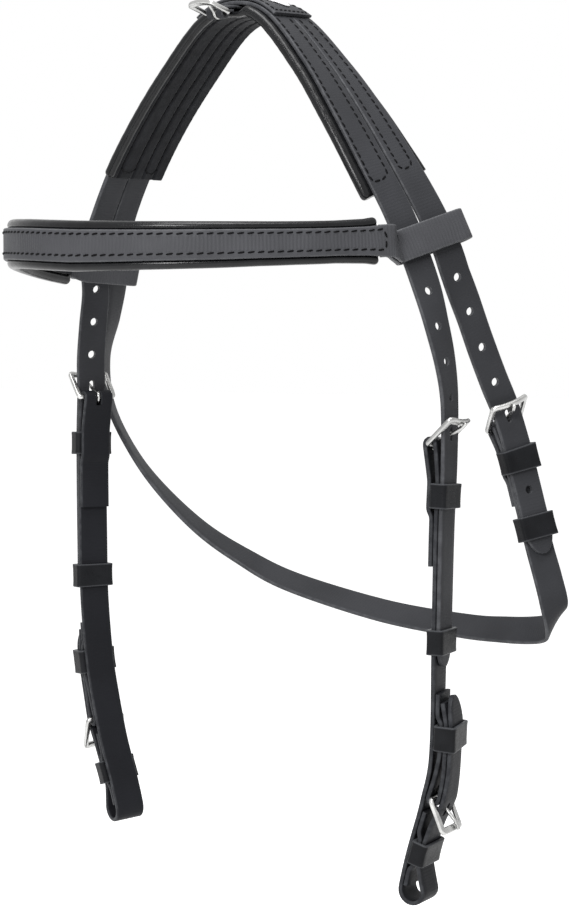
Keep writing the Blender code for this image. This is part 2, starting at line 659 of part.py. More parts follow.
LAYER = STRAP_THICK + SEAT_GAP
KEEPER_LIFT = STRAP_THICK + 2 * SEAT_GAP + KEEPER_THICK
BAR_RADIUS = BAR_THICK / 2 / math.cos(math.pi / 8)
BAR_FOLD = BAR_RADIUS + SEAT_GAP + STRAP_THICK / 2
HALF_KEEPER = KEEPER_LENGTH / 2
EASE = 4.0 * MM


def fold_back_path(heel, fixed_keeper, end, bar_out):
    """Inner leg behind the fixed keeper, the fold round the heel bar, then the main leg below it."""
    main = -LAYER
    return ([(end, main - LAYER), (fixed_keeper + HALF_KEEPER + EASE, main - LAYER),
             (fixed_keeper + HALF_KEEPER + 1.0 * MM, main - KEEPER_LIFT),
             (fixed_keeper - HALF_KEEPER - 1.0 * MM, main - KEEPER_LIFT), (heel, bar_out - BAR_FOLD)]
            + fold(heel, bar_out - BAR_FOLD, bar_out + BAR_FOLD, -1)
            + [(heel, bar_out + BAR_FOLD), (fixed_keeper - HALF_KEEPER - 1.0 * MM, main)])


def on_side(side, path):
    """Turn (distance down the cheek, out) into (distance along the route, out)."""
    return [(side * down, out) for down, out in path]


def make_cheek(prefix, side, hole):
    """One cheekpiece with its two buckles, four keepers and the loop at its end."""
    route = front_route
    heel = FIRST_CHEEK_HOLE + (hole - 1) * CHEEK_HOLE_SPACING + HOLE_TO_HEEL_BAR
    main = -LAYER
    bit_heel = heel + BIT_HEEL_BAR
    bar_out = main - 0.5 * MM + STRAP_THICK / 2 + SEAT_GAP + STRAP_THICK / 2 + BAR_FOLD
    top = Buckle(prefix + "_cheek_buckle", route, side * heel, -side, -TOP_BAR_DEPTH, TOP_BUCKLE_TILT,
                 STRAP_WIDTH)
    bit = Buckle(prefix + "_bit_buckle", route, side * bit_heel, side, bar_out, BIT_BUCKLE_TILT, STRAP_WIDTH)

    # The cheek strap in one piece: fold, main length, bottom loop, billet through the bit buckle
    lower, upper = heel + BIT_LOWER_KEEPER, heel + BIT_UPPER_KEEPER
    patch = main + KEEPER_LIFT
    loop_centre = heel + LOOP_BOTTOM - LOOP_DIAMETER / 2 - STRAP_THICK / 2
    chape_outer = main + KEEPER_LIFT + LAYER
    path = fold_back_path(heel, heel + CHEEK_FIXED_KEEPER, heel + FOLD_BACK_LENGTH, -TOP_BAR_DEPTH)
    path += [(bit_heel - 1.5 * BAR_APPROACH, main), (bit_heel, main - 0.5 * MM), (bit_heel + BAR_APPROACH, main),
             (loop_centre, main)]
    path += fold(loop_centre, main, main + LOOP_DIAMETER, 1, 9)
    path += [(loop_centre, main + LOOP_DIAMETER), (lower + HALF_KEEPER + 1 * MM, patch + LAYER),
             (lower - HALF_KEEPER - 1 * MM, patch + LAYER),
             (bit_heel + BAR_APPROACH, bar_out + BAR_FOLD), (bit_heel, bar_out + BAR_FOLD + LAYER),
             (bit_heel - BAR_APPROACH, bar_out + BAR_FOLD + LAYER - 0.4 * MM),
             (upper + HALF_KEEPER + 1 * MM, chape_outer + LAYER)]
    tip = heel + LOOP_TAIL_TIP
    path += tip_points(tip, 1, main + 3 * LAYER, KEEPER_LIFT - LAYER)[::-1]
    laid = lay(route, on_side(side, path))
    cheek = strap(prefix + "_cheek_strap", "strap", route, laid, STRAP_WIDTH,
                  taper=pointed_end(laid, tip_first=False))
    cut(cheek, top.tongue_slot(prefix + "_cheek_tongue_room"))
    slot = sorted((side * (bit_heel + HOLE_TO_HEEL_BAR - TONGUE_SLOT_LENGTH / 2),
                   side * (bit_heel + HOLE_TO_HEEL_BAR + TONGUE_SLOT_LENGTH / 2)))
    cut(cheek, slot_cutter(prefix + "_bit_billet_slot", route, *slot, TONGUE_SLOT_WIDTH / 2,
                           bar_out + 3 * MM, bar_out + 9 * MM))

    # The chape that carries the bit buckle, sewn to the main strap at its top
    chape = [(heel + CHAPE_TOP, main + LAYER), (upper - HALF_KEEPER - EASE, main + LAYER),
             (upper - HALF_KEEPER - 1 * MM, patch), (upper + HALF_KEEPER + 1 * MM, patch),
             (bit_heel, bar_out - BAR_FOLD)]
    chape += fold(bit_heel, bar_out - BAR_FOLD, bar_out + BAR_FOLD, 1)
    chape += [(bit_heel, bar_out + BAR_FOLD), (upper + HALF_KEEPER + 1 * MM, chape_outer),
              (upper - HALF_KEEPER - 1 * MM, chape_outer), (heel + CHAPE_TOP + 4 * MM, main + 2 * LAYER)]
    bit_chape = strap(prefix + "_bit_buckle_chape", "strap", route, lay(route, on_side(side, chape)), STRAP_WIDTH)
    cut(bit_chape, bit.tongue_slot(prefix + "_bit_tongue_room"))
    lining = [(heel + LOOP_PATCH_TOP, main + LAYER), (lower - HALF_KEEPER - EASE, main + LAYER),
              (lower - HALF_KEEPER - 1 * MM, patch), (lower + HALF_KEEPER + 1 * MM, patch),
              (lower + HALF_KEEPER + EASE, main + LAYER), (heel + LOOP_PATCH_END, main + LAYER)]
    strap(prefix + "_loop_patch", "strap", route, lay(route, on_side(side, lining)), STRAP_WIDTH)

    half = STRAP_THICK / 2
    keeper(prefix + "_cheek_fixed_keeper", route, side * (heel + CHEEK_FIXED_KEEPER), main - half, half)
    keeper(prefix + "_cheek_loose_keeper", route, side * (heel + CHEEK_LOOSE_KEEPER), main - half, half, True)
    keeper(prefix + "_bit_upper_keeper", route, side * upper, patch - half, chape_outer + LAYER + half)
    keeper(prefix + "_bit_lower_keeper", route, side * lower, patch - half, patch + LAYER + half)
    for buckle in (top, bit):
        buckle.make_frame()
        buckle.make_tongue()
    return heel


def billet_slot(name, route, side, heel):
    """Slot that the tongue of a top buckle stands in, through the billet at out=0."""
    ends = sorted(side * (heel - HOLE_TO_HEEL_BAR + shift * TONGUE_SLOT_LENGTH / 2) for shift in (-1, 1))
    return slot_cutter(name, route, *ends, TONGUE_SLOT_WIDTH / 2, -2 * STRAP_THICK, 2 * STRAP_THICK)


def make_headpiece(near_heel, off_heel, throat_heel):
    """The two branches of the headpiece; the rear one runs on as the throatlatch."""
    near_tip, off_tip = near_heel + CHEEK_BILLET_TAIL, -off_heel - CHEEK_BILLET_TAIL
    corners = tip_points(off_tip, 1, 0.0) + tip_points(near_tip, -1, 0.0)[::-1]
    laid = lay(front_route, corners)
    taper = pointed_end(laid) * pointed_end(laid, tip_first=False)
    front = strap("headpiece_front_strap", "strap", front_route, laid, STRAP_WIDTH, taper=taper)
    for side, hole, heel, prefix in ((1, NEAR_CHEEK_HOLE, near_heel, "near"), (-1, OFF_CHEEK_HOLE, off_heel, "off")):
        punched = [side * (FIRST_CHEEK_HOLE + k * CHEEK_HOLE_SPACING) for k in range(CHEEK_HOLE_COUNT)
                   if k != hole - 1]
        cut(front, hole_cutter(prefix + "_cheek_holes", front_route, punched, 0.0, 2 * STRAP_THICK))
        cut(front, billet_slot(prefix + "_cheek_billet_slot", front_route, side, heel))

    # Rear branch: its near billet, the crown, the off side, then under the throat to its own buckle
    around = rear_route.whole
    billet = tip_points(throat_heel + THROAT_BILLET_TAIL, -1, 0.0)
    fold_side = fold_back_path(throat_heel, throat_heel + THROAT_FIXED_KEEPER, throat_heel + THROAT_FOLD_BACK,
                               -TOP_BAR_DEPTH)
    loose_end = throat_heel + THROAT_BILLET_TAIL
    strap_side = [(along - around, out) for along, out in fold_side[::-1]]
    corners = billet + [(loose_end + THROAT_STEP - around, 0.0), (loose_end - around, -LAYER)] + strap_side
    laid = lay(rear_route, corners)
    rear = strap("headpiece_rear_strap", "strap", rear_route, laid, STRAP_WIDTH, taper=pointed_end(laid))
    punched = [FIRST_THROAT_HOLE + k * THROAT_HOLE_SPACING for k in range(THROAT_HOLE_COUNT)
               if k != THROAT_BUCKLE_HOLE - 1]
    cut(rear, hole_cutter("throat_holes", rear_route, punched, 0.0, STRAP_THICK * 0.6))
    cut(rear, billet_slot("throat_billet_slot", rear_route, 1, throat_heel))
    buckle = Buckle("throatlatch_buckle", rear_route, throat_heel, -1, -TOP_BAR_DEPTH, TOP_BUCKLE_TILT, STRAP_WIDTH)
    cut(rear, buckle.tongue_slot("throat_tongue_room"))
    half = STRAP_THICK / 2
    keeper("throatlatch_fixed_keeper", rear_route, throat_heel + THROAT_FIXED_KEEPER, -LAYER - half, half)
    keeper("throatlatch_loose_keeper", rear_route, throat_heel + THROAT_LOOSE_KEEPER, -LAYER - half, half, True)
    buckle.make_frame()
    buckle.make_tongue()


def smooth_step(value):
    value = min(1.0, max(0.0, value))
    return value * value * (3 - 2 * value)


def pad_layer(name, finish, route, places, profile):
    """A layer of padding: profile(along) gives its closed outline as (across, out) pairs."""
    rings = []
    for along in places:
        outline = np.array(profile(along))
        rings.append(route.place(np.full(len(outline), along), outline[:, 0], outline[:, 1]))
    return add_part(name, loft(rings), finish)


def pad_places(route, low, high):
    return [low] + [s for s in route.stations if low + 2 * MM < s < high - 2 * MM] + [high]


def make_poll_pad():
    """Lining, foam and rolled cover under the crown; the front roll dips under the crown buckle."""
    half = HALF_PITCH + STRAP_WIDTH / 2
    cover_top = -STRAP_THICK / 2 - SEAT_GAP
    cover_low = cover_top - COVER_THICK
    foam_top, foam_low = cover_low - SEAT_GAP, cover_low - SEAT_GAP - FOAM_THICK
    lining_top = foam_low - SEAT_GAP
    lining_low = lining_top - LINING_THICK
    rear = half + PAD_REAR_OVERHANG
    roll_x, radius = -half - PAD_FRONT_OVERHANG, PAD_ROLL / 2
    roll_z = lining_low + radius
    wall = roll_x + radius - 0.4 * MM
    sink = CROWN_CHAPE_THICK + SEAT_GAP

    def dent(along):
        far = abs(along - CROWN_BUCKLE_SIDE)
        return 1 - smooth_step((far - DENT_INNER) / (DENT_OUTER - DENT_INNER))

    def cover(along):
        deep = dent(along)
        low = sink * deep
        step = -CROWN_CHAPE_SEWN + 1.2 * MM
        top = [(rear, cover_top), (0.5 * rear, cover_top), (step + 1.5 * MM, cover_top),
               (step, cover_top - low), (-half + 1 * MM, cover_top - low)]
        squeeze = 1 - 0.48 * deep
        drop = 1.8 * MM * deep
        bead = []
        for k in range(7):
            angle = math.radians(75 + 35 * k)
            z = lining_low + (roll_z + radius * math.sin(angle) - lining_low) * squeeze - drop
            bead.append((roll_x + radius * math.cos(angle), z))
        bottom = [(wall, cover_low - low), (-half + 1 * MM, cover_low - low), (step, cover_low - low),
                  (step + 1.5 * MM, cover_low), (0.5 * rear, cover_low), (rear, cover_low)]
        return top + bead + bottom + top[:1]

    def foam(along):
        low = (sink + SEAT_GAP) * dent(along)
        step = -CROWN_CHAPE_SEWN + 1.9 * MM
        front = wall + SEAT_GAP
        outline = [(rear - 1.2 * MM, foam_top), (step + 1.5 * MM, foam_top), (step, foam_top - low),
                   (front, foam_top - low), (front, foam_low), (step, foam_low), (rear - 1.2 * MM, foam_low)]
        return outline + outline[:1]

    def lining(along):
        front = wall + SEAT_GAP
        outline = [(rear, lining_top), (front, lining_top), (front, lining_low), (rear, lining_low)]
        return outline + outline[:1]

    near, off = PAD_NEAR_END, -PAD_OFF_END
    pad_layer("poll_pad_cover", "padding", crown_route, pad_places(crown_route, off, near), cover)
    pad_layer("poll_pad_foam", "foam", crown_route, pad_places(crown_route, off + 3 * MM, near - 3 * MM), foam)
    pad_layer("poll_pad_lining", "lining", crown_route, pad_places(crown_route, off, near), lining)


def make_crown():
    """Patch over both straps, bare oval badge, and the small buckle that points forward."""
    patch_out = STRAP_THICK / 2 + SEAT_GAP + PATCH_THICK / 2
    ends = lay(crown_route, [(-PATCH_LENGTH / 2, patch_out), (PATCH_LENGTH / 2, patch_out)])
    strap("crown_overlay", "strap", crown_route, ends, 2 * STRAP_WIDTH + SLIT - 1 * MM, PATCH_THICK)
    badge_out = patch_out + PATCH_THICK / 2 + SEAT_GAP + BADGE_THICK / 2
    rings = []
    for k in range(11):
        swing = math.radians(-80 + 16 * k)
        along = BADGE_ALONG + BADGE_LENGTH / 2 * math.sin(swing)
        profile = np.array(strap_profile(BADGE_WIDTH * math.cos(swing), BADGE_THICK, 0.2 * MM))
        rings.append(crown_route.place(np.full(len(profile), along), BADGE_ACROSS + profile[:, 0],
                                       badge_out + profile[:, 1]))
    add_part("crown_badge", loft(rings), "badge")

    # The crown buckle stands on a straight route that runs forward from the middle of the crown
    level = CROWN_TOP * MM - STRAP_THICK / 2 - SEAT_GAP - CROWN_CHAPE_THICK / 2
    forward = Route([(CROWN_BUCKLE_SIDE, -step * 10 * MM, level, 1.0, 0.0, 0.0) for step in range(7)])
    heel = HALF_PITCH + STRAP_WIDTH / 2 + PAD_FRONT_OVERHANG + PAD_ROLL
    half_fold = BAR_RADIUS + SEAT_GAP + CROWN_CHAPE_THICK / 2
    buckle = Buckle("crown_buckle", forward, heel, 1, -CROWN_BAR_DROP, CROWN_BUCKLE_TILT, CROWN_BUCKLE_STRAP,
                    CROWN_BUCKLE_REACH)
    front_edge = HALF_PITCH + STRAP_WIDTH / 2
    under = CROWN_CHAPE_THICK + SEAT_GAP
    path = [(CROWN_CHAPE_SEWN, 0.0), (front_edge + 1 * MM, 0.0), (heel - 4 * MM, -0.5 * MM),
            (heel - 1.5 * MM, half_fold - CROWN_BAR_DROP), (heel, half_fold - CROWN_BAR_DROP)]
    path += fold(heel, half_fold - CROWN_BAR_DROP, -half_fold - CROWN_BAR_DROP, 1)
    path += [(heel, -half_fold - CROWN_BAR_DROP), (heel - 1.5 * MM, -half_fold - CROWN_BAR_DROP),
             (heel - CROWN_CHAPE_FREE + 3 * MM, -under - 0.5 * MM), (heel - CROWN_CHAPE_FREE, -under - 0.3 * MM)]
    chape = strap("crown_buckle_chape", "strap", forward, lay(forward, path), CROWN_BUCKLE_STRAP,
                  CROWN_CHAPE_THICK, split=True)
    for vertex in chape.data.vertices:
        arch = crown_route.place(np.array([vertex.co.x]), 0.0, 0.0)[0, 2] - CROWN_TOP * MM
        vertex.co.z += arch * smooth_step((heel + vertex.co.y) / (heel - front_edge))
    cut(chape, buckle.tongue_slot("crown_tongue_room"))
    buckle.make_frame()
    buckle.make_tongue()


def loop_points(side):
    """Loop at one end of the browband, round both headpiece straps: points and width directions."""
    at = np.array([NEAR_LOOP_AT if side > 0 else -OFF_LOOP_AT])
    behind = np.array([NEAR_LOOP_REAR_AT if side > 0 else -OFF_LOOP_AT])
    front, rear = front_route.place(at, 0.0, 0.0)[0], rear_route.place(behind, 0.0, 0.0)[0]
    centre, apart = (front + rear) / 2, np.linalg.norm(rear - front)
    across = (rear - front) / apart
    tangent = front_route.sample(front_route.tangent, at)[0]
    outward = np.cross(tangent, across)
    outward /= np.linalg.norm(outward)
    upward = side * np.cross(outward, across)
    reach = apart / 2 + STRAP_WIDTH / 2 + LOOP_SIDE_ROOM
    depth = STRAP_THICK / 2 + LOOP_FACE_ROOM + BROWBAND_THICK / 2
    flat = [(-reach, 0.85 * depth), (-reach + 3 * MM, depth), (-reach / 3, depth), (reach / 3, depth), (reach - 2 * MM, depth)]
    flat += [(reach + depth * math.sin(math.radians(a)), depth * math.cos(math.radians(a)))
             for a in range(0, 181, 30)]
    flat += [(reach - 2 * MM, -depth), (reach / 3, -depth), (-reach / 3, -depth), (-reach + 2 * MM, -depth)]
    gap = (browband_route.points - centre) @ across
    clear = browband_route.length[gap < -reach - 5 * MM]
    return [(centre + across * a + outward * b, upward) for a, b in flat], clear[0 if side < 0 else -1]


def make_browband():
    """Browband with its end loops, and the rolled padding behind its middle."""
    route = browband_route
    tail_out = -BROWBAND_THICK - SEAT_GAP
    up = np.array([0.0, 0.0, 1.0])

    def tail(along):
        return [(route.place(np.array([s]), 0.0, tail_out)[0], up) for s in along]

    (off_loop, start), (near_loop, end) = loop_points(-1), loop_points(1)
    middle = [start] + [s for s in route.stations if start + 3 * MM < s < end - 3 * MM] + [end]
    line = tail([start + LOOP_OVERLAP, start + LOOP_OVERLAP / 4]) + off_loop[::-1]
    line += [(route.place(np.array([s]), 0.0, 0.0)[0], up) for s in middle]
    line += near_loop + tail([end - LOOP_OVERLAP / 4, end - LOOP_OVERLAP])
    points = np.array([point for point, _ in line])
    tangent = np.gradient(points, axis=0)
    tangent /= np.linalg.norm(tangent, axis=1)[:, None]
    profile = np.array(strap_profile(BROWBAND_WIDTH, BROWBAND_THICK))
    rings = []
    for (point, width), along in zip(line, tangent):
        width = width - along * (width @ along)
        width /= np.linalg.norm(width)
        outward = np.cross(along, width)
        rings.append([point + width * a + outward * b for a, b in profile])
    add_part("browband_strap", loft(rings), "strap")

    cover_top = -BROWBAND_THICK / 2 - SEAT_GAP
    cover_low = cover_top - COVER_THICK
    foam_top, foam_low = cover_low - SEAT_GAP, cover_low - SEAT_GAP - BROWBAND_FOAM_THICK
    lining_top = foam_low - SEAT_GAP
    roll_x, radius = BROWBAND_ROLL_PITCH / 2, BROWBAND_ROLL / 2
    roll_z = cover_top - radius + 0.5 * MM
    wall = roll_x - radius + 0.4 * MM

    def cover(along):
        bead = [(roll_x + radius * math.cos(math.radians(a)), roll_z + radius * math.sin(math.radians(a)))
                for a in range(126, -155, -40)]
        right = [(0.0, cover_top), (wall - 0.3 * MM, cover_top)] + bead + [(wall, cover_low), (0.0, cover_low)]
        left = [(-x, z) for x, z in right[-2:0:-1]]
        return right + left + right[:1]

    def slab(half, top, low):
        outline = [(half, top), (-half, top), (-half, low), (half, low), (half, top)]
        return lambda along: outline

    near, off = end - BROWBAND_PAD_INSET, start + BROWBAND_PAD_INSET
    pad_layer("browband_pad_cover", "padding", route, pad_places(route, off, near), cover)
    pad_layer("browband_pad_foam", "foam", route, pad_places(route, off + 3 * MM, near - 3 * MM),
              slab(wall - SEAT_GAP, foam_top, foam_low))
    pad_layer("browband_pad_lining", "lining", route, pad_places(route, off + 1 * MM, near - 1 * MM),
              slab(wall - SEAT_GAP, lining_top, lining_top - LINING_THICK))


clear_scene()
near_heel = make_cheek("near", 1, NEAR_CHEEK_HOLE)
off_heel = make_cheek("off", -1, OFF_CHEEK_HOLE)
throat_heel = FIRST_THROAT_HOLE + (THROAT_BUCKLE_HOLE - 1) * THROAT_HOLE_SPACING + HOLE_TO_HEEL_BAR
make_headpiece(near_heel, off_heel, throat_heel)
make_poll_pad()
make_crown()
make_browband()
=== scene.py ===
"""Looks of the hackamore bridle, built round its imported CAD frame.

Straps are laid out flat, as on a saddler's bench (distance along a route, distance across, height out
from the head), and the routes carry that layout round the head. Units here are millimetres until a
mesh is made.
"""
import json
import math

import bpy
import numpy as np
from mathutils import Matrix

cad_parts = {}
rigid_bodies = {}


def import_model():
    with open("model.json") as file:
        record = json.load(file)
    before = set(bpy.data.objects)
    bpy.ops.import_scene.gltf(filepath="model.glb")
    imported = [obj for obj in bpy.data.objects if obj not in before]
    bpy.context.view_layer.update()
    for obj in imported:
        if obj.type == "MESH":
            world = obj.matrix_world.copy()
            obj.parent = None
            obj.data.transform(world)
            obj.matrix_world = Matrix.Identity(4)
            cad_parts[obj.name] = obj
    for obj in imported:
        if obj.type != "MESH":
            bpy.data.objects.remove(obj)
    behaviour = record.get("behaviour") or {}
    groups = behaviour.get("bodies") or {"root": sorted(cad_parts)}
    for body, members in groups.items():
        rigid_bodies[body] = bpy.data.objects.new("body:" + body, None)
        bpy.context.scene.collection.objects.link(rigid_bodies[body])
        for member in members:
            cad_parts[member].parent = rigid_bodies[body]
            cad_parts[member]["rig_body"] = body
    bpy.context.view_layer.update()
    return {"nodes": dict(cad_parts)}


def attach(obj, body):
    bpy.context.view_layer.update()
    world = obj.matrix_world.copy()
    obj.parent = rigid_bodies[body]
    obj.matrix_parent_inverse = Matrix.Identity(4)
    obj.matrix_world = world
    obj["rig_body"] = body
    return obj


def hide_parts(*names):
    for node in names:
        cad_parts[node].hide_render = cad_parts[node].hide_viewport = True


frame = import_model()
BODY_OF = {node: item["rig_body"] for node, item in frame["nodes"].items()}


def unit(rows):
    """Vectors divided by their own lengths."""
    rows = np.asarray(rows, float)
    return rows / np.linalg.norm(rows, axis=-1, keepdims=True)


def square_to(rows, line):
    """Unit vectors of the rows' parts that are square to the line's directions, r - (r . t) t."""
    return unit(rows - (rows * line).sum(1)[:, None] * line)


def travelled(points):
    """Distance along a line of points, from its first one."""
    return np.concatenate([[0.0], np.cumsum(np.linalg.norm(np.diff(points, axis=0), axis=1))])


def circle(count):
    """Cosines and sines of evenly spaced angles round a full turn."""
    angle = np.linspace(0, 2 * np.pi, count, endpoint=False)
    return np.cos(angle), np.sin(angle)


def smooth_step(value):
    """3 v^2 - 2 v^3, for v held between 0 and 1."""
    value = np.clip(value, 0.0, 1.0)
    return value * value * (3 - 2 * value)


def stand(item, right, back, spot):
    """Link a camera or a lamp that looks along minus back, with the given direction to its right."""
    turned = Matrix(np.stack([right, np.cross(back, right), back], axis=1).tolist()).to_4x4()
    turned.translation = spot
    item.matrix_world = turned
    bpy.context.scene.collection.objects.link(item)


# Camera at the photograph's angle, read off the bridle's own sizes
AZIMUTH, PITCH, FOCAL = math.radians(36.0), math.radians(2.75), 2560.0
EYE = np.array([775.4, -1040.5, -155.0])
PHOTO_WIDTH, SENSOR = 569, 36.0


def set_camera():
    """Perspective camera at the eye point, looking along minus its back direction, with no shift."""
    data = bpy.data.cameras.new("camera")
    data.sensor_fit, data.sensor_width = "HORIZONTAL", SENSOR
    data.lens = FOCAL * SENSOR / PHOTO_WIDTH
    data.clip_start, data.clip_end = 0.05, 30.0
    camera = bpy.data.objects.new("camera", data)
    level = math.cos(PITCH)
    back = np.array([math.sin(AZIMUTH) * level, -math.cos(AZIMUTH) * level, math.sin(PITCH)])
    stand(camera, np.array([math.cos(AZIMUTH), math.sin(AZIMUTH), 0.0]), back, EYE / 1000)
    bpy.context.scene.camera = camera


# Sizes in mm, most of them as in the part's source
STRAP_WIDTH, STRAP_THICK, SEAT_GAP, SLIT, PARTING = 16.0, 2.2, 0.3, 0.8, 0.5
CHEEK_HOLE_SPACING, THROAT_HOLE_SPACING, HOLE_DIAMETER = 17.6, 19.2, 4.2
TONGUE_SLOT_LENGTH, TONGUE_SLOT_WIDTH = 7.0, 3.2
BUCKLE_SIDE_ROOM, BUCKLE_REACH, BAR_THICK, TOE_BAR_WIDTH, TOE_BOW = 0.7, 16.5, 2.6, 3.6, 1.5
TOP_BUCKLE_TILT, BIT_BUCKLE_TILT, TOP_BAR_DEPTH = 45.0, 35.0, 7.0
TONGUE_WIRE, TONGUE_CLEARANCE, TONGUE_OVERHANG = 1.8, 0.25, 1.6
KEEPER_LENGTH, KEEPER_THICK, KEEPER_SIDE_ROOM = 12.0, 1.6, 0.6
FOLD_BACK_LENGTH, CHEEK_FIXED_KEEPER, CHEEK_LOOSE_KEEPER, CHEEK_BILLET_TAIL = 59.0, 25.0, 95.5, 108.0
CHAPE_TOP, BIT_UPPER_KEEPER, BIT_HEEL_BAR, BIT_LOWER_KEEPER = 120.5, 141.5, 172.5, 201.0
LOOP_PATCH_TOP, LOOP_PATCH_END, LOOP_BOTTOM, LOOP_DIAMETER, LOOP_TAIL_TIP = 180.5, 219.5, 228.5, 12.8, 121.5
FIRST_CHEEK_HOLE, CHEEK_HOLE_COUNT, HOLE_TO_HEEL_BAR = 185.5, 5, 5.0
FIRST_THROAT_HOLE, THROAT_HOLE_COUNT, THROAT_BUCKLE_HOLE = 184.3, 8, 5
THROAT_FIXED_KEEPER, THROAT_LOOSE_KEEPER, THROAT_FOLD_BACK, THROAT_BILLET_TAIL = 17.5, 52.0, 40.0, 66.0
PAD_NEAR_END, PAD_OFF_END, PAD_FRONT_OVERHANG, PAD_ROLL = 133.0, 119.0, 3.6, 7.0
PATCH_LENGTH, PATCH_THICK = 48.0, 1.6
BADGE_LENGTH, BADGE_WIDTH, BADGE_ALONG, BADGE_ACROSS = 19.0, 11.0, 8.0, 4.0
CROWN_BUCKLE_STRAP, CROWN_BUCKLE_REACH, CROWN_BUCKLE_TILT, CROWN_BUCKLE_SIDE = 10.0, 13.0, 11.0, -2.0
CROWN_CHAPE_THICK, CROWN_CHAPE_SEWN, CROWN_CHAPE_FREE, CROWN_BAR_DROP = 1.6, 9.0, 7.0, 3.6
BROWBAND_WIDTH, BROWBAND_THICK, BROWBAND_ROLL, BROWBAND_ROLL_PITCH = 15.6, 2.2, 5.4, 18.8
BROWBAND_COVER, BROWBAND_FOAM, BROWBAND_LINING, BROWBAND_PAD_INSET = 1.4, 2.6, 1.2, 8.0
NEAR_LOOP_AT, OFF_LOOP_AT, LOOP_SIDE_ROOM, LOOP_FACE_ROOM, LOOP_OVERLAP = 161.0, 173.0, 2.0, 2.2, 6.5

# Route stations: x, y, z, then the direction of the strap's rear edge from its middle
CROWN_TOP = 7.8
CROWN_ARCH = [
    (0.0, 0.0, CROWN_TOP), (20.3, 0.0, 1.5), (44.6, 0.0, -23.5), (64.3, 0.3, -47.5), (80.8, 1.2, -71.5),
    (93.8, 2.4, -95.5), (101.0, 3.6, -114.0),
]
NEAR_CROWN_TURN = [0.0, 3.0, 10.5, 20.0, 26.0, 29.0, 28.0]
NEAR_CROWN_SWAY = [0.0, 1.5, 1.5, -1.0, -2.2, 0.2, 3.0]
OFF_CROWN_TURN = [0.0, -1.0, -2.0, -2.0, -3.0, -4.0, -6.0]
NEAR_CHEEK = [
    (103.6, 0.4, -134.0, 25.0), (108.8, 1.5, -152.0, 13.0), (111.2, 5.5, -170.5, 3.0),
    (112.6, 7.4, -190.0, -5.0), (113.3, 6.2, -220.0, -8.0), (112.6, 5.2, -250.0, -9.0),
    (111.9, 4.9, -285.0, -10.0), (111.3, 4.9, -315.0, -11.0), (109.6, 6.6, -347.0, -13.0),
    (107.1, 8.3, -368.0, -13.0), (104.0, 8.6, -383.0, -9.0), (99.4, 8.4, -398.0, -7.0),
    (94.6, 8.8, -413.0, -6.0), (90.6, 9.1, -428.0, -6.0), (86.6, 9.4, -446.0, -6.0),
]
# The off cheekpiece is buckled one hole higher, and hangs 18 mm higher from its middle down
OFF_CHEEK = [
    (106.0, 2.0, -134.0, -18.0), (108.8, 3.2, -152.0, -23.0), (111.6, 4.6, -170.5, -25.0),
    (113.0, 6.4, -188.0, -25.0), (113.2, 6.0, -208.0, -26.0), (112.6, 5.2, -232.0, -26.0),
    (111.9, 4.8, -267.0, -26.0), *((x, y, z + 18.0, -26.0) for x, y, z, _ in NEAR_CHEEK[7:]),
]
NEAR_THROAT = [
    (107.7, 20.7, -128.5, 0.42, 0.91, 0.0), (109.1, 30.3, -145.4, 0.42, 0.91, 0.0),
    (111.7, 37.5, -162.7, 0.44, 0.9, 0.0), (114.3, 45.1, -179.3, 0.44, 0.9, 0.0),
    (117.0, 53.5, -196.0, 0.42, 0.88, 0.0), (120.5, 57.8, -213.0, 0.42, 0.88, 0.0),
    (124.2, 60.2, -230.0, 0.42, 0.88, 0.0), (128.0, 61.6, -246.0, 0.42, 0.88, 0.0),
    (132.0, 63.0, -262.0, 0.44, 0.86, 0.02), (135.8, 64.2, -277.0, 0.46, 0.84, 0.05),
    (138.2, 65.6, -289.0, 0.42, 0.78, 0.2), (136.8, 70.4, -298.5, 0.3, 0.6, 0.6),
    (130.0, 77.0, -304.6, 0.12, 0.5, 0.82), (118.0, 80.6, -307.3, -0.03, 0.58, 0.81),
    (100.8, 79.4, -307.9, -0.05, 0.68, 0.73), (77.6, 77.0, -307.3, 0.0, 0.77, 0.64),
    (29.0, 75.0, -302.4, 0.04, 0.84, 0.54), (-27.8, 72.0, -290.3, 0.04, 0.91, 0.41),
    (-58.1, 68.0, -277.7, -0.06, 0.96, 0.27), (-81.4, 61.0, -262.9, -0.24, 0.95, 0.18),
    (-100.6, 50.5, -241.9, -0.39, 0.91, 0.11), (-113.4, 42.0, -221.3, -0.5, 0.86, 0.09),
    (-121.7, 33.5, -196.6, -0.51, 0.84, 0.15), (-120.4, 26.8, -171.3, -0.41, 0.90, 0.16),
    (-111.4, 22.4, -149.0, -0.26, 0.96, 0.04), (-105.4, 19.0, -131.0, -0.10, 0.99, 0.0),
]
BROWBAND = [
    (-104.6, -9.0, -121.0), (-103.6, -36.0, -118.5), (-99.4, -64.0, -115.0), (-86.5, -90.0, -112.6),
    (-62.0, -108.6, -113.2), (-33.0, -118.0, -114.6), (-2.0, -119.0, -116.0), (28.0, -110.5, -116.6),
    (55.0, -91.5, -116.4), (77.0, -65.0, -115.4), (93.0, -37.0, -113.4), (101.0, -17.5, -112.0),
]


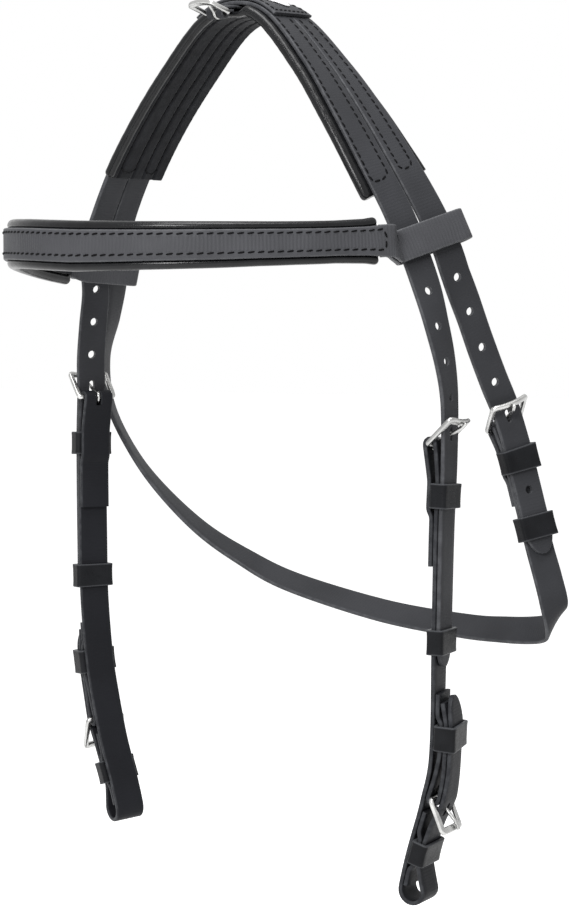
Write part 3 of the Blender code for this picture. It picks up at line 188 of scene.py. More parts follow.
class Route:
    """Catmull-Rom line through the stations, p = (2b + (c-a)t + (2a-5b+4c-d)t^2 + (3b-a-3c+d)t^3) / 2, with a
    width direction squared to the line and an outer face that is the cross product of the two."""

    def __init__(self, stations, start=0, closed=False):
        rows = np.array(stations, float)
        first = 2 * rows[0] - rows[1] if not closed else rows[-2]
        last = 2 * rows[-1] - rows[-2] if not closed else rows[1]
        rows = np.vstack([first, rows, last])
        places, slopes = [], []
        for a, b, c, d in zip(rows[:-3], rows[1:-2], rows[2:-1], rows[3:]):
            t = np.linspace(0.0, 1.0, max(2, int(np.linalg.norm(c[:3] - b[:3]) / 1.5)), endpoint=False)[:, None]
            ab, bc, cd = c - a, 2 * a - 5 * b + 4 * c - d, 3 * b - a - 3 * c + d
            places.append(0.5 * (2 * b + ab * t + bc * t ** 2 + cd * t ** 3))
            slopes.append(0.5 * (ab + 2 * bc * t + 3 * cd * t ** 2))
        places = np.vstack(places + [rows[-2][None]])
        slopes = np.vstack(slopes + [0.5 * (rows[-1] - rows[-3])[None]])
        self.points, tangent = places[:, :3], unit(slopes[:, :3])
        self.length = travelled(self.points)
        self.whole, self.closed = self.length[-1], closed
        self.length -= self.length[np.linalg.norm(self.points - rows[start + 1][:3], axis=1).argmin()]
        width = square_to(places[:, 3:], tangent)
        self.tables = [tangent, width, np.cross(tangent, width)]

    def sample(self, table, along):
        """Rows of a table read off at distances along the line."""
        return np.stack([np.interp(along, self.length, table[:, k]) for k in range(3)], axis=-1)

    def place(self, along, across, out):
        """World points of the flat layout: line point + across * width + out * face, straight past the ends."""
        along, across, out = np.broadcast_arrays(*(np.asarray(v, float) for v in (along, across, out)))
        if self.closed:
            along = np.mod(along, self.whole)
        inside = np.clip(along, self.length[0], self.length[-1])
        base = self.sample(self.points, inside)
        for table, shift in zip(self.tables, (along - inside, across, out)):
            base = base + self.sample(table, inside) * shift[..., None]
        return base


def with_turn(x, y, z, turn, side):
    """Station whose rear edge is turned about the vertical, (sin a, cos a, 0), mirrored for the off side."""
    angle = math.radians(turn)
    return (side * x, y, z, side * math.sin(angle), math.cos(angle), 0.0)


def shifted(stations, across, parting=0.0):
    """The stations moved across by a distance square to the line, further at the two end stations."""
    places = np.array([station[:3] for station in stations])
    slopes = np.gradient(places, axis=0) if len(stations) > 1 else [(0, 0, 1)]
    moved = []
    for (x, y, z, wx, wy, wz), slope in zip(stations, slopes):
        ends = (x, y, z) in (stations[0][:3], stations[-1][:3]) and abs(x) > 1
        shift = across + (math.copysign(parting, across) if parting and ends else 0.0)
        shift /= math.sqrt(1 - (np.dot(slope, (wx, wy, wz)) / np.linalg.norm(slope)) ** 2)
        moved.append((x + wx * shift, y + wy * shift, z + wz * shift, wx, wy, wz))
    return moved


HALF_PITCH = (STRAP_WIDTH + SLIT) / 2
near_crown = [with_turn(x, y + sway, z, turn, 1) for (x, y, z), turn, sway in
              zip(CROWN_ARCH, NEAR_CROWN_TURN, NEAR_CROWN_SWAY)]
off_crown = [with_turn(*place, turn, -1) for place, turn in zip(CROWN_ARCH, OFF_CROWN_TURN)]
crown_line = off_crown[:0:-1] + near_crown
near_cheek = [with_turn(*station, 1) for station in NEAR_CHEEK]
off_cheek = [with_turn(*station, -1) for station in OFF_CHEEK]
off_rear = shifted(off_crown[1:2], HALF_PITCH) + shifted(off_crown[1:], HALF_PITCH, PARTING)[1:]
crown_route = Route(crown_line, len(off_crown) - 1)
front_route = Route(off_cheek[::-1] + shifted(crown_line, -HALF_PITCH, PARTING) + near_cheek,
                    len(off_cheek) + len(off_crown) - 1)
rear_route = Route(shifted(near_crown, HALF_PITCH, PARTING) + NEAR_THROAT + off_rear[::-1]
                   + shifted(near_crown[:1], HALF_PITCH), closed=True)
browband_route = Route([(*place, 0.0, 0.0, 1.0) for place in BROWBAND])


# Meshes

def outline_of(width, thickness, radius=0.75, steps=4, flats=4):
    """Rounded rectangle (across, height): quarter circles x = +-(w/2-r) + r cos a, y = +-(t/2-r) + r sin a."""
    radius = min(radius, thickness / 2 - 0.02)
    corners = []
    for quarter, (sx, sy) in enumerate(((1, 1), (-1, 1), (-1, -1), (1, -1))):
        angle = np.radians(90 * quarter + np.linspace(0, 90, steps))
        corners.append(np.stack([sx * (width / 2 - radius) + radius * np.cos(angle),
                                 sy * (thickness / 2 - radius) + radius * np.sin(angle)], axis=1))
    ring = []
    for here, after in zip(corners, corners[1:] + corners[:1]):
        ring += [here, here[-1] + (after[0] - here[-1]) * np.linspace(0, 1, flats + 1)[1:-1, None]]
    return np.vstack(ring)


def build_mesh(name, points, faces, uv=None):
    """Mesh from points in mm and an array of quads, or a list of faces; uv has one row for each face corner."""
    mesh = bpy.data.meshes.new(name)
    faces = [np.asarray(face, int) for face in faces]
    counts = np.array([len(face) for face in faces])
    corners = np.concatenate(faces)
    mesh.vertices.add(len(points))
    mesh.vertices.foreach_set("co", (np.asarray(points, float) / 1000).ravel())
    mesh.loops.add(len(corners))
    mesh.loops.foreach_set("vertex_index", corners)
    mesh.polygons.add(len(faces))
    mesh.polygons.foreach_set("loop_start", np.concatenate([[0], np.cumsum(counts)[:-1]]))
    if uv is not None:
        mesh.uv_layers.new(name="layout").data.foreach_set("uv", np.asarray(uv, float).ravel())
    mesh.update(calc_edges=True)
    mesh.validate()
    return mesh


def skin(name, rings, u=None, v=None, around=False):
    """Closed surface through rings of points, (i, j) -> rings[i, j]: quads between neighbours, capped at both
    ends or joined end to end when around is true, and turned round if its signed volume is negative."""
    rings = np.asarray(rings, float)
    n, m = rings.shape[:2]
    u = np.arange(n) if u is None else np.asarray(u, float)
    v = np.arange(m) if v is None else np.asarray(v, float)
    i, j = np.meshgrid(np.arange(n if around else n - 1), np.arange(m), indexing="ij")
    i, j = i.ravel(), j.ravel()
    i2, j2 = (i + 1) % n, (j + 1) % m
    quads = np.stack([i * m + j, i * m + j2, i2 * m + j2, i2 * m + j], axis=1)
    span = u[-1] - u[-2]
    u_next, v_next = np.where(i2 == 0, u[-1] + span, u[i2]), v[j2]
    uv = np.stack([np.stack([u[i], v[j]], 1), np.stack([u[i], v_next], 1), np.stack([u_next, v_next], 1),
                   np.stack([u_next, v[j]], 1)], axis=1)
    flat = rings.reshape(-1, 3) - rings.mean((0, 1))
    corner = flat[quads]
    volume = sum((corner[:, 0] * np.cross(corner[:, k], corner[:, k + 1])).sum() for k in (1, 2))
    faces, corners_uv = list(quads), list(uv)
    if not around:
        faces += [np.arange(m)[::-1], (n - 1) * m + np.arange(m)]
        corners_uv += [np.stack([np.full(m, u[0]), v[::-1]], 1), np.stack([np.full(m, u[-1]), v], 1)]
    turn = -1 if volume < 0 else 1
    return build_mesh(name, rings.reshape(-1, 3), [face[::turn] for face in faces],
                      np.vstack([rows[::turn] for rows in corners_uv]))


def joined(name, meshes):
    """One mesh holding all of the given ones."""
    points, faces, uvs, start = [], [], [], 0
    for mesh in meshes:
        co = np.zeros(len(mesh.vertices) * 3)
        mesh.vertices.foreach_get("co", co)
        points.append(co.reshape(-1, 3) * 1000)
        faces += [np.array(face.vertices) + start for face in mesh.polygons]
        uv = np.zeros(len(mesh.loops) * 2)
        mesh.uv_layers[0].data.foreach_get("uv", uv)
        uvs.append(uv.reshape(-1, 2))
        start += len(mesh.vertices)
        bpy.data.meshes.remove(mesh)
    return build_mesh(name, np.vstack(points), faces, np.vstack(uvs))


def piece(name, mesh, material, nodes=(), body=None, angle=40):
    """Put a finished mesh in the scene: it rides on a body and stands for the CAD nodes that it replaces."""
    item = bpy.data.objects.new(name, mesh)
    mesh.name = name
    mesh.materials.clear()
    mesh.materials.append(material)
    mesh.shade_smooth()
    mesh.set_sharp_from_angle(angle=math.radians(angle))
    bpy.context.scene.collection.objects.link(item)
    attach(item, body or BODY_OF[nodes[0]])
    if nodes:
        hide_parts(*nodes)
    return item


def punched(mesh, cutters):
    """The mesh with the cutters' solids taken out of it."""
    item, tool = bpy.data.objects.new("work", mesh), bpy.data.objects.new("tool", joined("tool", cutters))
    for thing in (item, tool):
        bpy.context.scene.collection.objects.link(thing)
    modifier = item.modifiers.new("punch", "BOOLEAN")
    modifier.operation, modifier.solver, modifier.object = "DIFFERENCE", "EXACT", tool
    bpy.context.view_layer.update()
    made = bpy.data.meshes.new_from_object(item.evaluated_get(bpy.context.evaluated_depsgraph_get()))
    for thing in (item, tool):
        bpy.data.objects.remove(thing)
    return made


# Flat layouts

def fold(centre, start, end, toward, steps=14):
    """Half circle in the flat layout from out=start to out=end, bulging toward +along or -along."""
    angle = np.pi * np.arange(1, steps) / steps
    middle, radius = (start + end) / 2, (start - end) / 2
    return [(centre + toward * abs(radius) * math.sin(a), middle + radius * math.cos(a)) for a in angle]


POINT_LENGTH, FINE = 13.0, 0.2


def flowing(corners, ease=1.0, step=1.4, ends=(False, False)):
    """Polyline resampled evenly and smoothed by a Gaussian of sigma = ease, its two ends held; rows are close
    together at the ends that are marked as rounded points."""
    corners = np.asarray(corners, float)
    far = travelled(corners)
    fine = np.arange(0, far[-1] + FINE / 2, FINE)
    columns = range(corners.shape[1])
    line = np.stack([np.interp(fine, far, corners[:, k]) for k in columns], axis=1)
    reach = int(4 * ease / FINE)
    kernel = np.exp(-0.5 * (np.arange(-reach, reach + 1) * FINE / ease) ** 2)
    kernel /= kernel.sum()
    longer = np.vstack([2 * line[0] - line[reach:0:-1], line, 2 * line[-1] - line[-2:-reach - 2:-1]])
    line = np.stack([np.convolve(longer[:, k], kernel, "valid") for k in columns], axis=1)
    marks = np.linspace(0, far[-1], max(2, int(far[-1] / step)) + 1)
    close = POINT_LENGTH * (1 - np.cos(np.linspace(0.12, np.pi / 2, 14)))
    for marked, place in zip(ends, (close, far[-1] - close)):
        if marked:
            marks = np.concatenate([marks[np.abs(marks - place.mean()) > POINT_LENGTH / 2], place])
    marks = np.unique(np.round(np.clip(marks, 0, far[-1]), 3))
    return np.stack([np.interp(marks, fine, line[:len(fine), k]) for k in columns], axis=1), marks


def rounded_tip(distance):
    """Share of the full width near a rounded point: w = sqrt(1 - (1 - d/13)^2) for d under 13 mm."""
    near = np.clip(distance / POINT_LENGTH, 0.012, 1.0)
    return np.sqrt(1 - (1 - near) ** 2)


def strap_mesh(name, place, corners, width=STRAP_WIDTH, thick=STRAP_THICK, points=(False, False), ease=1.0,
               step=1.4):
    """A strap: its rounded outline carried along the flowing flat path, p = place(along + nx d, across s,
    out + ny d), where n is the path's normal and s narrows it to a rounded point at the marked ends."""
    path, marks = flowing(corners, ease, step, points)
    slope = unit(np.gradient(path, marks, axis=0))
    outline = outline_of(width, thick)
    narrow = np.ones(len(path))
    for pointed, from_tip in zip(points, (marks, marks[-1] - marks)):
        if pointed:
            narrow = narrow * rounded_tip(from_tip)
    depth = outline[None, :, 1]
    rings = place(path[:, None, 0] - slope[:, None, 1] * depth, outline[None, :, 0] * narrow[:, None],
                  path[:, None, 1] + slope[:, None, 0] * depth)
    return skin(name, rings, marks, outline[:, 0] * 2 / width)


NOSE = np.array([0.98, 0.85, 0.5])


def wire_mesh(name, line, radius, sides):
    """Round wire: circles of the radius square to the line, with a nose of circles r sqrt(1 - k^2) at both ends,
    pushed out by r k / 2."""
    line = np.asarray(line, float)
    tangent = unit(np.gradient(line, axis=0))
    side = np.cross(tangent, unit(np.cross(tangent, np.cross(tangent[0], [0.31, 0.42, 0.85]))))
    up = np.cross(side, tangent)
    small = np.sqrt(1 - NOSE ** 2)
    shrink, push = np.concatenate([small, np.ones(len(line)), small[::-1]]), radius * NOSE / 2
    line = np.vstack([line[0] - tangent[0] * push[:, None], line, line[-1] + tangent[-1] * push[::-1, None]])
    side, up = (np.vstack([t[:1]] * 3 + [t] + [t[-1:]] * 3)[:, None] for t in (side, up))
    c, s = (values[None, :, None] for values in circle(sides))
    return skin(name, line[:, None] + radius * shrink[:, None, None] * (side * c + up * s))


def punch(place, x, y, out, reach):
    """Punch whose closed line (x, y) stands through a strap from out - reach to out + reach."""
    return skin("tool", place(x[None, :], y[None, :], out + np.array([[-reach], [reach]])))


def hole_tools(place, along, out, reach):
    """Round punches of the holes' radius at each place along a strap."""
    c, s = circle(24)
    return [punch(place, a + HOLE_DIAMETER / 2 * c, HOLE_DIAMETER / 2 * s, out, reach) for a in along]


def slot_tool(place, along, out, reach):
    """Punch of a slot with round ends, x = w/2 cos a -+ (l - w)/2, y = w/2 sin a."""
    c, s = circle(28)
    x = TONGUE_SLOT_WIDTH / 2 * c + np.sign(c) * (TONGUE_SLOT_LENGTH - TONGUE_SLOT_WIDTH) / 2
    return punch(place, along + x, TONGUE_SLOT_WIDTH / 2 * s, out, reach)


def rounded_loop(half_x, low, high, radius, steps=5, flats=8):
    """Closed line round a box with quarter-circle corners, and its outward normals: (x, y) and (nx, ny)."""
    corners = [(half_x - radius, high - radius, 0), (radius - half_x, high - radius, 90),
               (radius - half_x, low + radius, 180), (half_x - radius, low + radius, 270)]
    line, normal = [], []
    for x, y, start in corners:
        angle = np.radians(start + np.linspace(0, 90, steps))
        n = np.stack([np.cos(angle), np.sin(angle)], axis=1)
        line.append(np.array([x, y]) + radius * n)
        normal.append(n)
    points, sides = [], []
    for k in range(4):
        here, after = line[k], line[(k + 1) % 4]
        share = np.linspace(0, 1, flats + 1)[1:-1, None]
        points += [here, here[-1] + (after[0] - here[-1]) * share]
        sides += [normal[k], np.repeat(normal[k][-1:], flats - 1, axis=0)]
    return np.vstack(points), np.vstack(sides)


LAYER = STRAP_THICK + SEAT_GAP
KEEPER_LIFT = STRAP_THICK + 2 * SEAT_GAP + KEEPER_THICK
HALF_THICK, PAST_KEEPER, BEFORE_KEEPER = STRAP_THICK / 2, KEEPER_LENGTH / 2 + 1.0, KEEPER_LENGTH / 2 + 4.0
BAR_CORNER = BAR_THICK / 2 / math.cos(math.pi / 8)
BAR_FOLD = BAR_CORNER + SEAT_GAP + HALF_THICK
BAR_APPROACH, BAR_DIP, THROAT_STEP = 12.0, 0.5, 70.0
KEEPER_CORNER, FRAME_CORNER, TONGUE_SIDE_ROOM, TONGUE_ROOM_RADIUS = 0.95, 1.5, 0.7, 5.4
CHEEK_PUNCH, THROAT_PUNCH, BIT_PUNCH, KEEPER_FLARE = 4.4, 1.3, 3.0, 0.25
TOE_STARTS, SIDE_RAMP, SIDE_THIN, SIDE_SQUARE = 0.72, 3.0, 0.25, 0.42
TONGUE_BENDS = ((0.36, 0.15), (0.66, 0.66))
NEAR_HEEL = FIRST_CHEEK_HOLE + 4 * CHEEK_HOLE_SPACING + HOLE_TO_HEEL_BAR
OFF_HEEL = FIRST_CHEEK_HOLE + 3 * CHEEK_HOLE_SPACING + HOLE_TO_HEEL_BAR
THROAT_HEEL = FIRST_THROAT_HOLE + (THROAT_BUCKLE_HOLE - 1) * THROAT_HOLE_SPACING + HOLE_TO_HEEL_BAR


class Buckle:
    """A buckle's own axes: x across, y from the heel bar to the toe, z out of the plate."""

    def __init__(self, route, heel, toe, out, tilt, strap_width=STRAP_WIDTH, reach=BUCKLE_REACH):
        self.inside, self.reach = strap_width / 2 + BUCKLE_SIDE_ROOM, reach
        at = np.array(heel % route.whole if route.closed else heel)
        tangent, width, face = (unit(route.sample(table, at)) for table in route.tables)
        along, lift, lean = toe * tangent, math.sin(math.radians(tilt)), math.cos(math.radians(tilt))
        self.base = route.place(at, 0.0, out)
        self.axes = np.stack([width, along * lean + face * lift, face * lean - along * lift])

    def place(self, x, y, z):
        """World points of the buckle's own axes: base + x X + y Y + z Z."""
        x, y, z = np.broadcast_arrays(x, y, z)
        return self.base + np.stack([x, y, z], axis=-1) @ self.axes

    def frame_mesh(self, name):
        """Bar of changing section round a rounded box: round (w 2.6) at the heel, squarer at the sides, and a
        plate 3.6 wide at the toe, which bows out by 1.5 (1 - (x/half)^2) (y/reach)^2."""
        half = self.inside + BAR_THICK / 2
        line, normal = rounded_loop(half, 0.0, self.reach, FRAME_CORNER, 7, 10)
        toe = np.clip((line[:, 1] / self.reach - TOE_STARTS) / (1 - TOE_STARTS), 0, 1)
        toe = toe * np.clip(normal[:, 1], 0, 1) ** 0.7
        side = np.clip(line[:, 1] / SIDE_RAMP, 0, 1)
        wide, thick = BAR_THICK + (TOE_BAR_WIDTH - BAR_THICK) * toe, BAR_THICK - SIDE_THIN * side
        power = 1.0 - SIDE_SQUARE * side
        c, s = (np.sign(f) * np.abs(f)[None, :] ** power[:, None] for f in circle(20))
        x = line[:, None, 0] + normal[:, None, 0] * wide[:, None] / 2 * c
        y = line[:, None, 1] + normal[:, None, 1] * wide[:, None] / 2 * c
        bow = TOE_BOW * np.clip(1 - (x / (half + BAR_THICK / 2)) ** 2, 0, 1) * np.clip(y / self.reach, 0, 1) ** 2
        return skin(name, self.place(x, y, thick[:, None] / 2 * s + bow), around=True)

    def tongue_mesh(self, name):
        """Wire bent into a ring on the heel bar and running on as a prong to the toe's far edge, where it rests."""
        ring = BAR_CORNER + TONGUE_CLEARANCE + TONGUE_WIRE / 2
        rest = TOE_BOW + BAR_THICK / 2 + TONGUE_CLEARANCE + TONGUE_WIRE / 2
        turn = np.radians(np.arange(-300, -9, 10))
        line = [(ring * math.cos(a), ring * math.sin(a)) for a in turn]
        line += [(a * self.reach, b * rest) for a, b in TONGUE_BENDS]
        line += [(self.reach - 1.5, rest), (self.reach + TONGUE_OVERHANG, rest - 0.1)]
        path, _ = flowing(line, 0.7, 0.5)
        return wire_mesh(name, self.place(0.0, path[:, 0], path[:, 1]), TONGUE_WIRE / 2, 14)

    def tongue_room(self):
        """Punch for the tongue's ring: a disc round the heel bar, wider than the wire."""
        half, (c, s) = TONGUE_WIRE / 2 + TONGUE_SIDE_ROOM, circle(24)
        return skin("tool", self.place(np.array([[-half], [half]]), TONGUE_ROOM_RADIUS * c[None, :],
                                       TONGUE_ROOM_RADIUS * s[None, :]))


# Straps, keepers and buckles

def fold_back(heel, fixed_keeper, end, bar_out):
    """Inner leg behind the fixed keeper, the fold round the heel bar, then the main leg below it."""
    main = -LAYER
    return ([(end, main - LAYER), (fixed_keeper + BEFORE_KEEPER, main - LAYER),
             (fixed_keeper + PAST_KEEPER, main - KEEPER_LIFT), (fixed_keeper - PAST_KEEPER, main - KEEPER_LIFT),
             (heel, bar_out - BAR_FOLD)]
            + fold(heel, bar_out - BAR_FOLD, bar_out + BAR_FOLD, -1)
            + [(heel, bar_out + BAR_FOLD), (fixed_keeper - PAST_KEEPER, main)])


def buckle_pieces(name, buckle):
    """A buckle's frame and its tongue, in satin steel."""
    for part_name, mesh in (("frame", buckle.frame_mesh("bar")), ("tongue", buckle.tongue_mesh("wire"))):
        piece(f"{name}_{part_name}_satin", mesh, STEEL, [f"{name}_{part_name}"], angle=50)


def keeper_piece(name, route, along, low, high):
    """A band 12 mm wide carried round the stack of straps: p = place(along + b, x + nx d, z + nz d), slightly
    wider at its mouths, where d gains 0.25 (2b / length)^4."""
    room = SEAT_GAP + KEEPER_THICK / 2
    line, normal = rounded_loop(STRAP_WIDTH / 2 + KEEPER_SIDE_ROOM + KEEPER_THICK / 2, low - room, high + room,
                                KEEPER_CORNER)
    band = outline_of(KEEPER_LENGTH, KEEPER_THICK, 0.5, 4, 5)
    share = band[:, 0] * 2 / KEEPER_LENGTH
    flare = band[:, 1] + KEEPER_FLARE * share ** 4 * (band[:, 1] > 0)
    rings = route.place(along + band[None, :, 0], line[:, None, 0] + normal[:, None, 0] * flare[None, :],
                        line[:, None, 1] + normal[:, None, 1] * flare[None, :])
    piece(name + "_band", skin("band", rings, travelled(line), share, around=True), KEEPER_LEATHER, [name])


def dress_cheek(prefix, side, heel):
    """One cheekpiece: strap with its fold, loop and billet, bit buckle chape, loop patch, keepers and buckles."""
    route, main = front_route, -LAYER
    bit_heel, lower, upper = heel + BIT_HEEL_BAR, heel + BIT_LOWER_KEEPER, heel + BIT_UPPER_KEEPER
    bar_out = main - BAR_DIP + HALF_THICK + SEAT_GAP + HALF_THICK + BAR_FOLD
    patch, chape_outer = main + KEEPER_LIFT, main + KEEPER_LIFT + LAYER
    top = Buckle(route, side * heel, -side, -TOP_BAR_DEPTH, TOP_BUCKLE_TILT)
    bit = Buckle(route, side * bit_heel, side, bar_out, BIT_BUCKLE_TILT)
    centre, tip = heel + LOOP_BOTTOM - LOOP_DIAMETER / 2 - HALF_THICK, heel + LOOP_TAIL_TIP

    def leather(name, node, path, punches=(), **settings):
        """One strap of the cheekpiece, laid along its flat path, mirrored for the off side, and punched."""
        made = strap_mesh("strap", route.place, [(side * a, b) for a, b in path], **settings)
        piece(f"{prefix}_{name}", punched(made, punches) if punches else made, CHEEK_LEATHER, [f"{prefix}_{node}"])

    path = fold_back(heel, heel + CHEEK_FIXED_KEEPER, heel + FOLD_BACK_LENGTH, -TOP_BAR_DEPTH)
    path += [(bit_heel - 1.5 * BAR_APPROACH, main), (bit_heel, main - BAR_DIP), (bit_heel + BAR_APPROACH, main),
             (centre, main)]
    path += fold(centre, main, main + LOOP_DIAMETER, 1, 24)
    over_bar = bar_out + BAR_FOLD
    path += [(centre, main + LOOP_DIAMETER), (lower + PAST_KEEPER, patch + LAYER),
             (lower - PAST_KEEPER, patch + LAYER), (bit_heel + BAR_APPROACH, over_bar),
             (bit_heel, over_bar + LAYER), (bit_heel - BAR_APPROACH, over_bar + LAYER - 0.4),
             (upper + PAST_KEEPER, chape_outer + LAYER), (tip + POINT_LENGTH, main + 2 * LAYER + KEEPER_LIFT),
             (tip, main + 3 * LAYER)]
    slot = slot_tool(route.place, side * (bit_heel + HOLE_TO_HEEL_BAR), bar_out + 6, BIT_PUNCH)
    leather("cheekpiece", "cheek_strap", path, [top.tongue_room(), slot], points=(False, True))

    chape = [(heel + CHAPE_TOP, main + LAYER), (upper - BEFORE_KEEPER, main + LAYER), (upper - PAST_KEEPER, patch),
             (upper + PAST_KEEPER, patch), (bit_heel, bar_out - BAR_FOLD)]
    chape += fold(bit_heel, bar_out - BAR_FOLD, over_bar, 1)
    chape += [(bit_heel, over_bar), (upper + PAST_KEEPER, chape_outer), (upper - PAST_KEEPER, chape_outer),
              (heel + CHAPE_TOP + 4, main + 2 * LAYER)]
    leather("bit_chape_leather", "bit_buckle_chape", chape, [bit.tongue_room()], ease=0.8)
    lining = [(heel + LOOP_PATCH_TOP, main + LAYER), (lower - BEFORE_KEEPER, main + LAYER),
              (lower - PAST_KEEPER, patch), (lower + PAST_KEEPER, patch),
              (lower + BEFORE_KEEPER, main + LAYER), (heel + LOOP_PATCH_END, main + LAYER)]
    leather("loop_patch_leather", "loop_patch", lining, ease=0.8)

    for keeper, at, inner, outer in (("cheek_fixed", heel + CHEEK_FIXED_KEEPER, main, 0.0),
                                     ("cheek_loose", heel + CHEEK_LOOSE_KEEPER, main, 0.0),
                                     ("bit_upper", upper, patch, chape_outer + LAYER),
                                     ("bit_lower", lower, patch, patch + LAYER)):
        keeper_piece(f"{prefix}_{keeper}_keeper", route, side * at, inner - HALF_THICK, outer + HALF_THICK)
    buckle_pieces(prefix + "_cheek_buckle", top)
    buckle_pieces(prefix + "_bit_buckle", bit)


def dress_headpiece():
    """The two branches: the front one is both cheek billets, and the rear one runs on as the throatlatch."""
    place = front_route.place
    ends = (-OFF_HEEL - CHEEK_BILLET_TAIL, NEAR_HEEL + CHEEK_BILLET_TAIL)
    front = strap_mesh("strap", place, [(ends[0], 0.0), (0.0, 0.0), (ends[1], 0.0)], points=(True, True))
    tools = []
    for side, heel, used in ((1, NEAR_HEEL, 5), (-1, OFF_HEEL, 4)):
        tools += hole_tools(place, [side * (FIRST_CHEEK_HOLE + k * CHEEK_HOLE_SPACING)
                                    for k in range(CHEEK_HOLE_COUNT) if k != used - 1], 0.0, CHEEK_PUNCH)
        tools.append(slot_tool(place, side * (heel - HOLE_TO_HEEL_BAR), 0.0, CHEEK_PUNCH))
    piece("headpiece_front_branch", punched(front, tools), STRAP_LEATHER, ["headpiece_front_strap"])

    place, around = rear_route.place, rear_route.whole
    loose_end = THROAT_HEEL + THROAT_BILLET_TAIL
    folded = fold_back(THROAT_HEEL, THROAT_HEEL + THROAT_FIXED_KEEPER, THROAT_HEEL + THROAT_FOLD_BACK, -TOP_BAR_DEPTH)
    corners = [(loose_end, 0.0), (0.0, 0.0), (loose_end + THROAT_STEP - around, 0.0), (loose_end - around, -LAYER)]
    corners += [(along - around, out) for along, out in folded[::-1]]
    rear = strap_mesh("strap", place, corners, points=(True, False))
    buckle = Buckle(rear_route, THROAT_HEEL, -1, -TOP_BAR_DEPTH, TOP_BUCKLE_TILT)
    tools = hole_tools(place, [FIRST_THROAT_HOLE + k * THROAT_HOLE_SPACING for k in range(THROAT_HOLE_COUNT)
                               if k != THROAT_BUCKLE_HOLE - 1], 0.0, THROAT_PUNCH)
    tools += [slot_tool(place, THROAT_HEEL - HOLE_TO_HEEL_BAR, 0.0, CHEEK_PUNCH), buckle.tongue_room()]
    piece("headpiece_rear_branch", punched(rear, tools), STRAP_LEATHER, ["headpiece_rear_strap"])
    for keeper, at in (("fixed", THROAT_FIXED_KEEPER), ("loose", THROAT_LOOSE_KEEPER)):
        keeper_piece(f"throatlatch_{keeper}_keeper", rear_route, THROAT_HEEL + at, -LAYER - HALF_THICK, HALF_THICK)
    buckle_pieces("throatlatch_buckle", buckle)


# Padding

def bead(x, z, radius, start, end, steps=22):
    """Arc of a roll round (x, z), from one angle to another in degrees."""
    angle = np.radians(np.linspace(start, end, steps))
    return np.stack([x + radius * np.cos(angle), z + radius * np.sin(angle)], axis=1)


def spaced(corners, step=1.2):
    """Points at most a step apart on a line through the corners, without its last one."""
    corners = np.asarray(corners, float)
    rows = []
    for a, b in zip(corners[:-1], corners[1:]):
        count = max(1, int(np.ceil(np.linalg.norm(b - a) / step)))
        rows.append(a + (b - a) * np.linspace(0, 1, count, endpoint=False)[:, None])
    return np.vstack(rows)


RIM, SHUT_FROM, SHUT_OVER, LEAST_ROLL = 2.4, 1.4, 0.9, 0.35


def pad_along(low, high, step=1.6):
    """Distances along a pad, close together over the rim at both of its ends."""
    edge = RIM * (1 - np.cos(np.linspace(0, np.pi / 2, 7)))
    return np.concatenate([low + edge, np.arange(low + RIM + step, high - RIM - step / 2, step), (high - edge)[::-1]])


def pad_ends(along, low, high):
    """For the distance e from the nearer end: e itself, how far the skin is drawn shut there,
    1 - smoothstep((e - 1.4) / 0.9), and how full the roll is, 0.35 + 0.65 sqrt(1 - (1 - e / 2.4)^2)."""
    from_end = np.minimum(along - low, high - along)[:, None]
    full = np.sqrt(np.clip(1 - (1 - np.clip(from_end / RIM, 0.03, 1)) ** 2, 0, 1))
    return from_end, 1 - smooth_step((from_end - SHUT_FROM) / SHUT_OVER), LEAST_ROLL + (1 - LEAST_ROLL) * full


def pressed_rows(face, rows, depth, width):
    """Height that sewing takes off a lining at its rows, depth exp(-((x - row) / width)^2)."""
    return depth * np.exp(-((face[:, :1] - np.array(rows)) / width) ** 2).sum(1)


CREST = HALF_THICK + SEAT_GAP
HALF_CROWN = HALF_PITCH + STRAP_WIDTH / 2
POLL_COVER, POLL_FOAM, POLL_LINING, POLL_ROLL, POLL_FRONT, POLL_REAR = 1.2, 2.0, 1.0, 5.4, 2.4, 3.2
COVER_TOP = -CREST
COVER_LOW = COVER_TOP - POLL_COVER
FOAM_TOP, FOAM_LOW = COVER_LOW - SEAT_GAP, COVER_LOW - SEAT_GAP - POLL_FOAM
LINING_TOP = FOAM_LOW - SEAT_GAP
LINING_LOW = LINING_TOP - POLL_LINING
CROWN_ROWS = (-14.8, -4.2, 3.7, 11.8)
PULL, PULL_SLOPE, PULL_FROM, PULL_OVER, PRESS_SIDE, PRESS_FADE = 1.0, 0.08, 18.0, 30.0, 1.0, 5.0


def pad_lie(along, across, out):
    """Crown place with the pad's near end drawn in towards its rear corner,
    s' = s - (1 + 0.08 (x + 18)) smoothstep((s - end + 30) / 30)."""
    pull = PULL + PULL_SLOPE * (across + PULL_FROM)
    pull = pull * smooth_step((along - PAD_NEAR_END + PULL_OVER) / PULL_OVER)
    return crown_route.place(along - pull, across, out)


def pad_piece(name, node, material, lie, along, profile, x=None, z=None):
    """A pad's skin or filling: its profile (across, out), or places x and z that change along it, carried by the
    pad's lie."""
    x, z = profile[None, :, 0] if x is None else x, profile[None, :, 1] if z is None else z
    return piece(name, skin("pad", lie(along[:, None], x, z), along, profile[:, 0]), material, [node])


def under_chape(along):
    """1 under the crown buckle's chape, fading to 0 beside it: 1 - smoothstep((|s - c| - 6) / 5)."""
    beside = np.abs(along - CROWN_BUCKLE_SIDE) - CROWN_BUCKLE_STRAP / 2 - PRESS_SIDE
    return 1 - smooth_step(beside / PRESS_FADE)[:, None]


